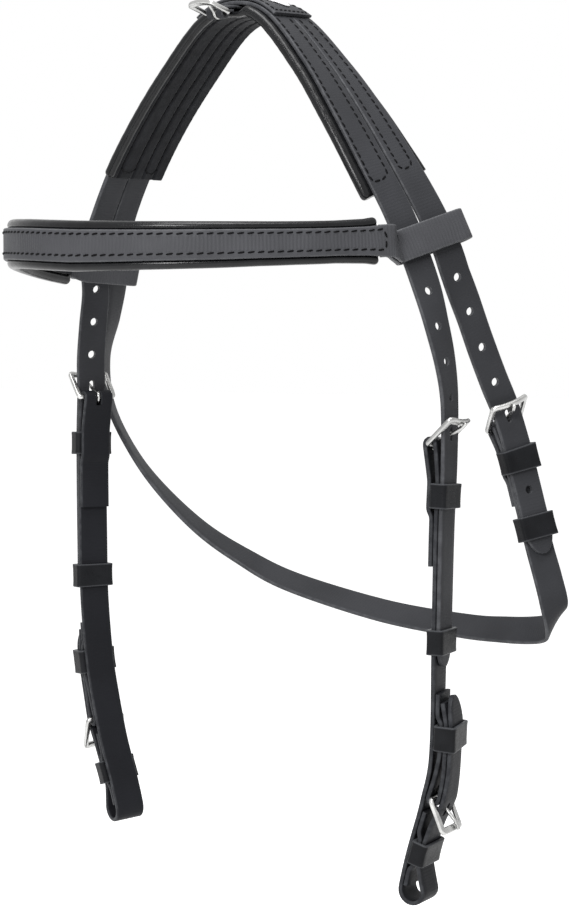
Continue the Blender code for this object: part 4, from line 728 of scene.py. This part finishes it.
def dress_poll_pad():
    """Cover with a round roll along its front, foam and quilted lining, each a profile (across, out) carried
    along the crown and pressed down by the crown buckle's chape."""
    rear, low, high = HALF_CROWN + POLL_REAR, -PAD_OFF_END, PAD_NEAR_END
    radius, edge = POLL_ROLL / 2, 0.8
    roll_x, roll_z = -HALF_CROWN - POLL_FRONT, LINING_LOW + radius
    wall, step = roll_x + radius - 0.4, -CROWN_CHAPE_SEWN + 1.2
    along = pad_along(low, high)
    dent = under_chape(along)
    from_end, shut, full = pad_ends(along, low, high)

    # Cover: top, roll, underside, and a lip that closes the rear edge
    top = spaced([(rear - edge, COVER_TOP), (step + 1.5, COVER_TOP), (step, COVER_TOP), (-HALF_CROWN + 1, COVER_TOP)])
    roll = bead(roll_x, roll_z, radius, 78, 285)
    under = spaced([(wall, COVER_LOW), (step, COVER_LOW), (step + 1.5, COVER_LOW), (rear - 1.0, COVER_LOW)])
    lip = np.vstack([[(rear - 0.95, LINING_TOP + 0.1)], bead(rear - edge, LINING_TOP + 0.9, edge, -85, 0, 4),
                     bead(rear - edge, COVER_TOP - edge, edge, 0, 80, 5)])
    profile = np.vstack([top, roll, under, lip])
    kind = np.repeat([0, 1, 2, 3], [len(top), len(roll), len(under), len(lip)])[None, :]
    x, z = profile[None, :, 0], profile[None, :, 1]
    z = z - (CROWN_CHAPE_THICK + SEAT_GAP) * dent * (((kind == 0) | (kind == 2)) & (x <= step + 0.01))
    squeezed = LINING_LOW + (z - LINING_LOW) * (1 - 0.48 * dent) - 1.4 * dent
    ripple = 1 + 0.025 * np.sin(along * 0.9 + 1.3 * np.sin(along * 0.31))[:, None] * (1 - dent)
    z = np.where(kind == 1, roll_z + (squeezed - roll_z) * full * ripple, z)
    x = np.where(kind == 1, roll_x + (x - roll_x) * full, x)
    closed = np.where((kind == 2) & (x > wall - 0.01), LINING_TOP + 0.1, z)
    z = np.where(kind == 2, z + (closed - z) * shut, z)
    cover = pad_piece("poll_pad_leather", "poll_pad_cover", ROLL_LEATHER, pad_lie, along, profile, x, z)

    # Foam between the two skins
    inner = along[(along > low + 3) & (along < high - 3)]
    front, behind = wall + SEAT_GAP, rear - 1.2
    slab = spaced([(behind, FOAM_TOP), (step + 2.2, FOAM_TOP), (step + 0.7, FOAM_TOP), (front, FOAM_TOP),
                   (front, FOAM_LOW), (step, FOAM_LOW), (behind, FOAM_LOW), (behind, FOAM_TOP)], 2.5)
    pressed = (slab[:, 1] > FOAM_TOP - 0.01) & (slab[:, 0] <= step + 0.71)
    pad_piece("poll_pad_filling", "poll_pad_foam", FOAM, pad_lie, inner, slab,
              z=slab[:, 1] - (CROWN_CHAPE_THICK + 2 * SEAT_GAP) * under_chape(inner) * pressed)

    # Lining: soft channels between the four rows that sew it through, and an edge that is turned in
    lip_x, lip_z = roll_x + 0.6, LINING_LOW + 0.25
    face = spaced([(lip_x, lip_z), (front + 1.2, LINING_LOW), (rear - 0.5, LINING_LOW)], 0.5)
    face[:, 1] += pressed_rows(face, CROWN_ROWS, 0.75, 0.75)
    back = spaced([(rear, LINING_LOW + 0.5), (rear, LINING_TOP), (front, LINING_TOP), (front, LINING_LOW + 0.5),
                   (lip_x, LINING_LOW + 0.5), (lip_x, lip_z)], 2.5)
    outline = np.vstack([face, [(rear - 0.5, LINING_LOW)], back])
    lift = 0.55 * (1 - np.clip(from_end, 0, 1) ** 0.5) + 0.10 * np.sin(along[:, None] * 1.43)
    lift = np.clip(lift * (outline[:, 1] < LINING_TOP - 0.3), 0, 1)
    lining = pad_piece("poll_pad_lining_leather", "poll_pad_lining", LINING_LEATHER, pad_lie, along, outline,
                       z=outline[:, 1] + lift)


# Crown patch, badge and buckle

def dress_crown():
    """The sewn patch over both branches, the bare badge on it, and the small buckle on its folded chape."""
    patch_out = CREST + PATCH_THICK / 2
    half = PATCH_LENGTH / 2
    patch = strap_mesh("patch", crown_route.place, [(-half, patch_out), (half, patch_out)],
                       2 * STRAP_WIDTH + SLIT - 1, PATCH_THICK)
    piece("crown_patch_leather", patch, STRAP_LEATHER, ["crown_overlay"])

    # Bare badge: an oval with a rounded rim and a low dome, radius share and height per ring
    low = patch_out + PATCH_THICK / 2 + SEAT_GAP
    share = np.array([0.03, 0.95, 0.99, 1.0, 0.985, 0.94, 0.90, 0.86, 0.6, 0.3, 0.03])[:, None]
    height = np.array([0.0, 0.0, 0.06, 0.26, 0.50, 0.62, 0.60, 0.58, 0.70, 0.77, 0.80])[:, None]
    c, s = circle(64)
    rings = crown_route.place(BADGE_ALONG + BADGE_LENGTH / 2 * share * c, BADGE_ACROSS + BADGE_WIDTH / 2 * share * s,
                              low + height)
    piece("crown_badge_enamel", skin("badge", rings), BADGE, ["crown_badge"], angle=60)

    # The crown buckle on its chape, which starts between the strap and the pad and is folded round the bar
    level = CROWN_TOP - CREST - CROWN_CHAPE_THICK / 2
    forward = Route([(CROWN_BUCKLE_SIDE, -step * 10, level, 1.0, 0.0, 0.0) for step in range(7)])
    heel = HALF_CROWN + PAD_FRONT_OVERHANG + PAD_ROLL
    half_fold = BAR_CORNER + SEAT_GAP + CROWN_CHAPE_THICK / 2
    buckle = Buckle(forward, heel, 1, -CROWN_BAR_DROP, CROWN_BUCKLE_TILT, CROWN_BUCKLE_STRAP, CROWN_BUCKLE_REACH)
    under = CROWN_CHAPE_THICK + SEAT_GAP

    def arched(along, across, out):
        """The forward route bent over the crown: z gains the arch's drop, faded out towards the bar."""
        spot = forward.place(along, across, out)
        drop = crown_route.place(spot[..., 0], 0.0, 0.0)[..., 2] - CROWN_TOP
        spot[..., 2] += drop * smooth_step((heel + spot[..., 1]) / (heel - HALF_CROWN))
        return spot

    upper, lower = half_fold - CROWN_BAR_DROP, -half_fold - CROWN_BAR_DROP
    path = [(CROWN_CHAPE_SEWN, 0.0), (HALF_CROWN + 1, 0.0), (heel - 4, -0.5), (heel - 1.5, upper), (heel, upper)]
    path += fold(heel, upper, lower, 1)
    path += [(heel, lower), (heel - 1.5, lower),
             (heel - CROWN_CHAPE_FREE + 3, -under - 0.5), (heel - CROWN_CHAPE_FREE, -under - 0.3)]
    chape = strap_mesh("chape", arched, path, CROWN_BUCKLE_STRAP, CROWN_CHAPE_THICK, ease=0.5, step=0.9)
    piece("crown_chape_leather", punched(chape, [buckle.tongue_room()]), STRAP_LEATHER, ["crown_buckle_chape"])
    buckle_pieces("crown_buckle", buckle)


# Browband

def loop_line(side):
    """End loop round both headpiece straps: a flat band with a half-round rear edge, and where it meets the
    browband's line."""
    at = np.array(NEAR_LOOP_AT if side > 0 else -OFF_LOOP_AT)
    front, rear = front_route.place(at, 0.0, 0.0), rear_route.place(at, 0.0, 0.0)
    centre, apart = (front + rear) / 2, np.linalg.norm(rear - front)
    across = (rear - front) / apart
    outward = unit(np.cross(front_route.sample(front_route.tables[0], at), across))
    upward = side * np.cross(outward, across)
    reach = apart / 2 + STRAP_WIDTH / 2 + LOOP_SIDE_ROOM
    depth = HALF_THICK + LOOP_FACE_ROOM + BROWBAND_THICK / 2
    turn = np.radians(np.arange(0, 181, 12))
    flat = np.vstack([[(-reach, 0.85 * depth), (-reach + 3, depth), (-reach / 3, depth), (reach / 3, depth),
                       (reach - 2, depth)], np.stack([reach + depth * np.sin(turn), depth * np.cos(turn)], 1),
                      [(reach - 2, -depth), (reach / 3, -depth), (-reach / 3, -depth), (-reach + 2, -depth)]])
    gap = (browband_route.points - centre) @ across
    clear = browband_route.length[gap < -reach - 5]
    points = centre + flat[:, :1] * across + flat[:, 1:] * outward
    return np.hstack([points, np.repeat(upward[None], len(points), 0)]), clear[0 if side < 0 else -1]


# Along the face of the browband: its place in mm, its width as a share, and how far it rides up
BAND_AT = [160.0, 180.0, 200.0, 219.0, 237.0, 256.0, 275.0, 295.0, 311.0, 322.0]
BAND_WIDE = [1.0, 0.975, 0.94, 0.92, 0.90, 0.87, 0.85, 0.84, 0.88, 1.0]
BAND_RISE = [0.0, 0.5, 0.9, 1.1, 1.2, 1.3, 1.2, 0.8, 0.3, 0.0]


def browband_lie(along, across, out):
    """Browband place with the width share and the rise of that place, across' = across w + r."""
    wide, rise = np.interp(along, BAND_AT, BAND_WIDE), np.interp(along, BAND_AT, BAND_RISE)
    return browband_route.place(along, across * wide + rise, out)


def dress_browband():
    """Strap with its end loops, swept along one line; gives the places along it where its face starts and ends."""
    route, up = browband_route, np.array([0.0, 0.0, 1.0])

    def straight(along, out):
        """Rows of a place on the browband's line and the upward direction."""
        spots = route.place(np.asarray(along, float), 0.0, out)
        return np.hstack([spots, np.repeat(up[None], len(spots), 0)])

    (off_loop, start), (near_loop, end) = loop_line(-1), loop_line(1)
    behind = -BROWBAND_THICK - SEAT_GAP
    middle = np.concatenate([[start], np.arange(start + 3, end - 3, 2.0), [end]])
    line = np.vstack([straight([start + LOOP_OVERLAP, start + LOOP_OVERLAP / 4], behind), off_loop[::-1],
                      straight(middle, 0.0), near_loop,
                      straight([end - LOOP_OVERLAP / 4, end - LOOP_OVERLAP], behind)])
    path, marks = flowing(line, 1.2, 1.3)
    tangent = unit(np.gradient(path[:, :3], axis=0))
    width = square_to(path[:, 3:], tangent)
    face = np.cross(tangent, width)
    outline = outline_of(BROWBAND_WIDTH, BROWBAND_THICK, flats=6)
    first = np.linalg.norm(path[:, :3] - route.place(np.array(start), 0.0, 0.0), axis=1).argmin()
    marks = marks + start - marks[first]
    wide, rise = (np.interp(marks, BAND_AT, share)[:, None, None] for share in (BAND_WIDE, BAND_RISE))
    rings = (path[:, None, :3] + width[:, None] * (outline[None, :, :1] * wide + rise)
             + face[:, None] * outline[None, :, 1:])
    band = skin("band", rings, marks, outline[:, 0] * 2 / BROWBAND_WIDTH)
    piece("browband_leather", band, BROWBAND_LEATHER, ["browband_strap"])
    return start, end


def dress_browband_pad(start, end):
    """Padded piece behind the browband: a cover with a roll above and below, foam, and a lining sewn through."""
    near, off = end - BROWBAND_PAD_INSET, start + BROWBAND_PAD_INSET
    cover_top = -BROWBAND_THICK / 2 - SEAT_GAP
    cover_low = cover_top - BROWBAND_COVER
    foam_top, foam_low = cover_low - SEAT_GAP, cover_low - SEAT_GAP - BROWBAND_FOAM
    lining_top, radius = foam_low - SEAT_GAP, BROWBAND_ROLL / 2
    roll_x, roll_z = BROWBAND_ROLL_PITCH / 2, cover_top - BROWBAND_ROLL / 2 + 0.5
    wall = roll_x - radius + 0.4
    along = pad_along(off, near)
    _, shut, full = pad_ends(along, off, near)
    top = spaced([(0.0, cover_top), (wall - 0.3, cover_top)])
    under = spaced([(wall, cover_low), (0.0, cover_low)])
    right = np.vstack([top, bead(roll_x, roll_z, radius, 128, -155, 26), under])
    left = np.vstack([[(0.0, cover_low)], right[:0:-1] * (-1, 1)])
    profile = np.vstack([right, left])
    rolled = np.abs(profile[:, 0]) > wall + 0.2
    x, z = profile[None, :, 0], profile[None, :, 1]
    middle_x = np.sign(x) * roll_x
    x, z = np.where(rolled, middle_x + (x - middle_x) * full, x), np.where(rolled, roll_z + (z - roll_z) * full, z)
    low_side = (~rolled) & (profile[:, 1] < cover_top - 0.5)
    z = np.where(low_side, z + (lining_top + 0.1 - z) * shut, z)
    cover = pad_piece("browband_pad_leather", "browband_pad_cover", ROLL_LEATHER, browband_lie, along, profile, x, z)

    def slab(name, node, material, inset, top_z, low_z, pressed):
        """Layer between the two rolls, pressed in by the given depth at the rows that sew it through."""
        half = wall - SEAT_GAP
        flat, bevel = half - 0.4, low_z + 0.4
        face = spaced([(-flat, low_z), (flat, low_z)], 0.5)
        face[:, 1] += pressed_rows(face, BROWBAND_ROWS, pressed, 0.8)
        rim = spaced([(flat, low_z), (half, bevel), (half, top_z), (-half, top_z), (-half, bevel), (-flat, low_z)],
                     1.5)
        return pad_piece(name, node, material, browband_lie, pad_along(off + inset, near - inset),
                         np.vstack([face, rim]))

    slab("browband_filling", "browband_pad_foam", FOAM, 3, foam_top, foam_low, 0.0)
    lining = slab("browband_lining_leather", "browband_pad_lining", LINING_LEATHER, 1, lining_top,
                  lining_top - BROWBAND_LINING, 0.6)


# Sewing

BROWBAND_ROWS = (-4.6, 5.7)
STITCH_RINGS = np.array([(-1.0, 0.30, -0.30), (-0.72, 0.85, 0.02), (0.0, 1.0, 0.16), (0.72, 0.85, 0.02),
                         (1.0, 0.30, -0.30)])
RING_SIDES = 6
STITCH_POINTS = RING_SIDES * len(STITCH_RINGS)
SKIM, THREAD_HEIGHT, FROM_PATCH, EDGE_INSET = 0.04, 0.32, 25.5, 2.2
CROWN_U, LINING_ENDS = ((-115.0, -1), (128.5, 1)), (-112.0, 125.0)
sewn = []


def sew(place, line, out, pitch=4.3, length=3.5, thick=1.0, slant=0.12):
    """Stitches along a polyline of (along, across): each is five rings of six points, a capsule whose ends dip
    into the leather, p = place(a + d cos t - w sin t, b + d sin t + w cos t, out + h)."""
    path, marks = flowing(line, 0.6, 0.4)
    count = max(1, int(round(marks[-1] / pitch)))
    middle = (np.arange(count) + 0.5) * marks[-1] / count
    spot, after, before = (np.stack([np.interp(middle + step, marks, path[:, k]) for k in (0, 1)], axis=1)
                           for step in (0.0, 0.3, -0.3))
    ahead = after - before
    heading = np.arctan2(ahead[:, 1], ahead[:, 0]) + slant
    c, s = np.cos(heading)[:, None, None], np.sin(heading)[:, None, None]
    turn = np.radians(np.arange(0, 360, 360 // RING_SIDES))[None, None, :]
    far, wide, high = (STITCH_RINGS[None, :, k, None] for k in range(3))
    d, w = far * length / 2, wide * thick / 2 * np.cos(turn)
    h = high + wide * thick * THREAD_HEIGHT * np.sin(turn)
    a, b = spot[:, 0][:, None, None] + d * c - w * s, spot[:, 1][:, None, None] + d * s + w * c
    sewn.append(place(a, b, out + h).reshape(-1, 3))


def u_turn(at, side, low, high, bulge, reach, count):
    """Places of the U that closes two rows of stitches at a pad's end: a - side b (1 - cos t), m + h sin t."""
    return [(at - side * bulge * (1 - math.cos(t)), (low + high) / 2 + (high - low) / 2 * math.sin(t))
            for t in np.radians(np.linspace(-reach, reach, count))]


def dress_sewing(start, end):
    """All the thread on the headstall, as one piece."""
    # Both branches over the poll pad, two rows each, closed by a U near the pad's ends; the same on the lining
    for rows in (CROWN_ROWS[:2], CROWN_ROWS[2:]):
        for at, side in CROWN_U:
            cap = u_turn(at, side, *rows, 3.2, 85, 9)
            sew(pad_lie, [(FROM_PATCH * side, rows[0]), *cap, (FROM_PATCH * side, rows[1])], HALF_THICK + SKIM)
            sew(pad_lie, cap, LINING_LOW + 0.1)
        for row in rows:
            sew(pad_lie, [(at, row) for at in LINING_ENDS], LINING_LOW + 0.5)
    # Crown patch, round its edge
    half, wide = PATCH_LENGTH / 2 - EDGE_INSET, STRAP_WIDTH + SLIT / 2 - 0.5 - EDGE_INSET
    around = [(-half, -wide), (half, -wide), (half, wide), (-half, wide), (-half, -wide)]
    sew(crown_route.place, around, CREST + PATCH_THICK + SKIM, 3.6, 2.8)
    # Browband, on its face and on its lining
    near, off, face = end - BROWBAND_PAD_INSET + 3, start + BROWBAND_PAD_INSET - 3, BROWBAND_THICK / 2 + SKIM
    near_cap, off_cap = (u_turn(at, side, *BROWBAND_ROWS, 2.4, 80, 7) for at, side in ((near, 1), (off, -1)))
    sew(browband_lie, [(off, BROWBAND_ROWS[0]), *near_cap, (off, BROWBAND_ROWS[1])], face, 4.7, 3.7, slant=0.16)
    sew(browband_lie, off_cap, face, 4.4, 3.4)
    inside = -BROWBAND_THICK / 2 - 3 * SEAT_GAP - BROWBAND_COVER - BROWBAND_FOAM - BROWBAND_LINING
    for row in BROWBAND_ROWS:
        sew(browband_lie, [(off + 7, row), (near - 7, row)], inside + 0.5, 4.7, 3.6)


def thread_mesh():
    """The stitches' points joined into closed capsules: quads between neighbouring rings and a cap at both ends."""
    points = np.vstack(sewn)
    first = np.arange(0, len(points), STITCH_POINTS)[:, None, None]
    i, j = (grid.ravel() for grid in np.meshgrid(np.arange(len(STITCH_RINGS) - 1), np.arange(RING_SIDES),
                                                 indexing="ij"))
    here, there, after = i * RING_SIDES, (i + 1) * RING_SIDES, (j + 1) % RING_SIDES
    quads = np.stack([here + j, here + after, there + after, there + j], axis=1)
    caps = np.stack([np.arange(RING_SIDES)[::-1], STITCH_POINTS - RING_SIDES + np.arange(RING_SIDES)])
    faces = [list((rows[None] + first).reshape(-1, rows.shape[1])) for rows in (quads, caps)]
    return build_mesh("thread", points, faces[0] + faces[1])


# Finishes

class Nodes:
    """The node tree of a material or of the surround; node() adds one node and gives the socket it puts out."""

    def __init__(self, owner):
        owner.use_nodes = True
        self.tree = owner.node_tree

    def give(self, socket, value):
        """Link a socket to another node's, or set its constant."""
        if isinstance(value, bpy.types.NodeSocket):
            self.tree.links.new(value, socket)
        else:
            socket.default_value = value

    def node(self, kind, inputs, out=0, **settings):
        """One more node, with its inputs linked or set and its settings given by name."""
        made = self.tree.nodes.new("ShaderNode" + kind)
        for key, value in settings.items():
            setattr(made, key, value)
        for key, value in inputs.items():
            self.give(made.inputs[key], value)
        return made.outputs[out]

    def calc(self, operation, *values):
        """One step of arithmetic on values that may be sockets or numbers."""
        return self.node("Math", dict(enumerate(values)), operation=operation)

    def seen(self):
        """1 for what the camera sees, by itself or in a reflection or through something clear, and 0 for light."""
        ray = self.tree.nodes.new("ShaderNodeLightPath").outputs
        mirrored = self.calc("MAXIMUM", ray["Is Glossy Ray"], ray["Is Transmission Ray"])
        return self.calc("MAXIMUM", ray["Is Camera Ray"], mirrored)


class Finish(Nodes):
    """A node material; put() sets one socket of its shader."""

    def __init__(self, name, colour, roughness, **sockets):
        self.material = bpy.data.materials.new(name)
        super().__init__(self.material)
        self.shader = self.tree.nodes["Principled BSDF"]
        for socket, value in (("Base Color", (*colour, 1.0)), ("Roughness", roughness), *sockets.items()):
            self.put(socket.replace("_", " "), value)

    def put(self, socket, value):
        """Give one of the shader's sockets a constant or a link."""
        self.give(self.shader.inputs[socket], value)

    def band(self, value, low, high, to_low=0.0, to_high=1.0):
        """Smooth step from one value to another between low and high."""
        return self.node("MapRange", {"Value": value, "From Min": low, "From Max": high, "To Min": to_low,
                                      "To Max": to_high}, interpolation_type="SMOOTHSTEP")

    def blend(self, factor, first, second):
        """Colour between the first, where the factor is 0, and the second."""
        return self.node("Mix", {0: factor, 6: (*first, 1.0) if isinstance(first, tuple) else first,
                                 7: (*second, 1.0) if isinstance(second, tuple) else second}, 2, data_type="RGBA")

    def noise(self, vector, scale, detail=2.0, rough=0.5):
        """Cloudy noise between 0 and 1, with so many clouds to a metre."""
        return self.node("TexNoise", {"Vector": vector, "Scale": scale, "Detail": detail, "Roughness": rough})

    def cells(self, vector, scale):
        """Distance to the nearest wall between cells."""
        return self.node("TexVoronoi", {"Vector": vector, "Scale": scale}, feature="DISTANCE_TO_EDGE")

    def place(self):
        """Places in the object's own axes, in metres."""
        return self.node("TexCoord", {}, 3)

    def layout(self):
        """The strap's own flat layout: mm along it, and -1 to 1 across it."""
        split = self.tree.nodes.new("ShaderNodeSeparateXYZ")
        self.tree.links.new(self.node("UVMap", {}, uv_map="layout"), split.inputs[0])
        return split.outputs[0], split.outputs[1]

    def tone(self, noise, dark, pale):
        """Colour that follows a noise from dark to pale."""
        return self.blend(self.band(noise, 0.3, 0.7), dark, pale)

    def gloss(self, noise, low, high):
        """Roughness that follows a noise from low to high."""
        return self.band(noise, 0.3, 0.7, low, high)

    def finished(self, colour, roughness, *layers):
        """The material, with bump from (height, depth in metres) layers, one on another."""
        self.put("Base Color", colour)
        if roughness is not None:
            self.put("Roughness", roughness)
        under = {}
        for height, depth in layers:
            under = {"Normal": self.node("Bump", {"Height": height, "Strength": 1.0, "Distance": depth, **under})}
        self.put("Normal", under["Normal"])
        return self.material


def ribbed_strap(name, colour, worn, pitch, depth, middle=None, shine=0.10):
    """Coated strap: cross ribs sin(2 pi (u / pitch + drift)) that fade in and out, fine grain, worn paler edges.
    With a middle, given as half a width share and two places in mm, the ribs keep to it and to the end loops."""
    f = Finish(name, colour, 0.5, Specular_IOR_Level=shine)
    u, v = f.layout()
    place = f.place()
    drift = f.noise(place, 90.0, 1.0)
    phase = f.calc("ADD", f.calc("DIVIDE", u, pitch), f.calc("MULTIPLY", drift, 0.9))
    ribs = f.calc("MULTIPLY_ADD", f.calc("SINE", f.calc("MULTIPLY", phase, 2 * math.pi)), 0.5, 0.5)
    if middle is None:
        patches = f.band(f.noise(place, 38.0), 0.38, 0.62, 0.25, 1.0)
    else:
        inner, loop_low, loop_high = middle
        patches = f.band(f.noise(place, 60.0), 0.35, 0.6, 0.6, 1.0)
        within = f.band(f.calc("ABSOLUTE", f.calc("SUBTRACT", v, 0.07)), inner - 0.06, inner + 0.04, 1.0, 0.0)
        on_loop = f.calc("ADD", f.band(u, loop_low, loop_low + 3.0, 1.0, 0.0), f.band(u, loop_high - 3.0, loop_high))
        patches = f.calc("MULTIPLY", patches, f.calc("MAXIMUM", within, on_loop))
    edge = f.band(f.calc("ABSOLUTE", v), 0.86, 0.97)
    grain = f.noise(place, 1500.0, 3.0, 0.6)
    broad = f.noise(place, 22.0, 3.0, 0.55)
    tone = f.tone(broad, tuple(0.86 * c for c in colour), tuple(1.13 * c for c in colour))
    tone = f.blend(f.calc("MULTIPLY", edge, f.band(f.noise(place, 240.0, 3.0), 0.35, 0.7, 0.35, 1.0)), tone, worn)
    roughness = f.calc("SUBTRACT", f.gloss(grain, 0.44, 0.58), f.calc("MULTIPLY", edge, 0.10))
    return f.finished(tone, roughness, (f.calc("MULTIPLY", ribs, patches), depth * 0.001), (grain, 0.00004))


STRAP_LEATHER = ribbed_strap("coated strap", (0.036, 0.037, 0.041), (0.080, 0.082, 0.088), 1.6, 0.035)
CHEEK_LEATHER = ribbed_strap("cheek strap", (0.0125, 0.013, 0.0155), (0.050, 0.052, 0.057), 1.6, 0.05, shine=0.08)
BROWBAND_LEATHER = ribbed_strap("ribbed browband", (0.066, 0.067, 0.073), (0.100, 0.102, 0.108), 1.85, 0.13,
                                (0.54, -2.0, 322.0))


def keeper_leather():
    """Smooth dark leather with paler worn mouths."""
    f = Finish("keeper leather", (0.010, 0.0105, 0.012), 0.3, Specular_IOR_Level=0.07)
    place, edge = f.place(), f.band(f.calc("ABSOLUTE", f.layout()[1]), 0.84, 0.97)
    grain = f.noise(place, 1300.0, 3.0, 0.6)
    tone = f.tone(f.noise(place, 60.0), (0.007, 0.0073, 0.0083), (0.014, 0.0146, 0.0165))
    return f.finished(f.blend(edge, tone, (0.055, 0.057, 0.062)), f.gloss(grain, 0.26, 0.38), (grain, 0.00006),
                      (f.noise(place, 260.0), 0.00012))


def roll_leather():
    """Soft glossy cover: creases across the roll, and pores."""
    f = Finish("rolled cover", (0.007, 0.0073, 0.0083), 0.22, Specular_IOR_Level=0.25)
    place = f.place()
    cells, broad = f.cells(place, 900.0), f.noise(place, 140.0, 3.0, 0.6)
    return f.finished(f.tone(broad, (0.004, 0.0042, 0.0048), (0.008, 0.0084, 0.0095)),
                      f.gloss(f.noise(place, 400.0), 0.17, 0.26), (f.band(cells, 0.0, 0.12), 0.000012),
                      (broad, 0.00012))


def lining_leather():
    """Soft matt leather with a fine grain and broad soft folds."""
    f = Finish("pad lining", (0.012, 0.0125, 0.0145), 0.5, Specular_IOR_Level=0.06)
    place = f.place()
    grain, broad = f.noise(place, 1100.0, 3.0, 0.65), f.noise(place, 120.0, 3.0, 0.6)
    return f.finished(f.tone(broad, (0.009, 0.0094, 0.011), (0.017, 0.0177, 0.0203)), f.gloss(grain, 0.44, 0.58),
                      (grain, 0.00008), (broad, 0.0003))


def satin_steel():
    """Brushed steel: a noise drawn out along the scratches."""
    f = Finish("satin steel", (0.70, 0.70, 0.69), 0.26, Metallic=1.0)
    place = f.place()
    scratch = f.noise(f.node("Mapping", {"Vector": place, "Scale": (1.0, 1.0, 9.0)}), 500.0, 3.0, 0.6)
    return f.finished(f.tone(f.noise(place, 90.0), (0.34, 0.34, 0.335), (0.52, 0.52, 0.51)),
                      f.gloss(scratch, 0.20, 0.34), (scratch, 0.00002))


def sewing_thread():
    """Waxed thread with a fine twist."""
    f = Finish("waxed thread", (0.004, 0.004, 0.0045), 0.5, Specular_IOR_Level=0.04)
    twist = f.noise(f.place(), 2600.0)
    return f.finished(f.blend(twist, (0.002, 0.002, 0.0023), (0.008, 0.008, 0.009)), None, (twist, 0.00006))


def white_badge():
    """Bare white enamel, a little uneven."""
    f = Finish("bare badge", (0.80, 0.80, 0.80), 0.3)
    place = f.place()
    return f.finished(f.blend(f.noise(place, 200.0), (0.76, 0.76, 0.765), (0.84, 0.84, 0.84)), None,
                      (f.noise(place, 700.0), 0.00001))


def pad_foam():
    """Foam with closed cells, darker between them."""
    f = Finish("pad foam", (0.10, 0.10, 0.10), 0.95)
    cells = f.cells(f.place(), 1400.0)
    return f.finished(f.blend(f.band(cells, 0.0, 0.2), (0.14, 0.14, 0.14), (0.08, 0.08, 0.08)), None,
                      (cells, 0.0002))


KEEPER_LEATHER, ROLL_LEATHER, LINING_LEATHER = keeper_leather(), roll_leather(), lining_leather()
STEEL, THREAD, BADGE, FOAM = satin_steel(), sewing_thread(), white_badge(), pad_foam()


# Floor and light

FLOOR_LEVEL, FLOOR_EDGE, FLOOR_GLOW, SURROUND_LIGHT = -0.56, 12.0, 0.8, 0.26
LAMPS = (("overhead", (0.25, -0.35, 1.3), (0.0, 0.0, -0.1), 0.9, 22.0),
         ("front lamp", (0.45, -1.65, 0.55), (0.0, 0.0, -0.15), 0.65, 26.0))


def set_stage():
    """A white floor well below the bridle, a white surround for the camera and for reflections that is dimmer as
    a light, and two soft square lamps, overhead and in front: name, place, aim, edge and watts."""
    pale = Finish("pale floor", (0.9, 0.9, 0.9), 0.9, Emission_Color=(1.0, 1.0, 1.0, 1.0))
    pale.put("Emission Strength", pale.calc("MULTIPLY", pale.seen(), FLOOR_GLOW))
    mesh = bpy.data.meshes.new("floor")
    mesh.from_pydata([(x * FLOOR_EDGE, y * FLOOR_EDGE, FLOOR_LEVEL) for x, y in ((-1, -1), (1, -1), (1, 1), (-1, 1))],
                     [], [(0, 1, 2, 3)])
    mesh.materials.append(pale.material)
    floor = bpy.data.objects.new("floor", mesh)
    bpy.context.scene.collection.objects.link(floor)

    world = bpy.data.worlds.new("surround")
    bpy.context.scene.world = world
    surround = Nodes(world)
    back = surround.tree.nodes["Background"].inputs
    surround.give(back["Color"], (1.0, 1.0, 1.0, 1.0))
    surround.give(back["Strength"], surround.node("MapRange", {"Value": surround.seen(), "To Min": SURROUND_LIGHT,
                                                               "To Max": 1.0}))
    for name, spot, aim, edge, power in LAMPS:
        data = bpy.data.lights.new(name, "AREA")
        data.shape, data.size, data.energy = "SQUARE", edge, power
        back = unit(np.array(spot) - aim)
        stand(bpy.data.objects.new(name, data), unit(np.cross((0.0, 1.0, 0.02), back)), back, spot)
    bpy.context.scene.view_settings.view_transform = "Standard"


set_camera()
set_stage()
dress_cheek("near", 1, NEAR_HEEL)
dress_cheek("off", -1, OFF_HEEL)
dress_headpiece()
dress_poll_pad()
dress_crown()
face_ends = dress_browband()
dress_browband_pad(*face_ends)
dress_sewing(*face_ends)
piece("sewing_thread", thread_mesh(), THREAD, body="headstall")
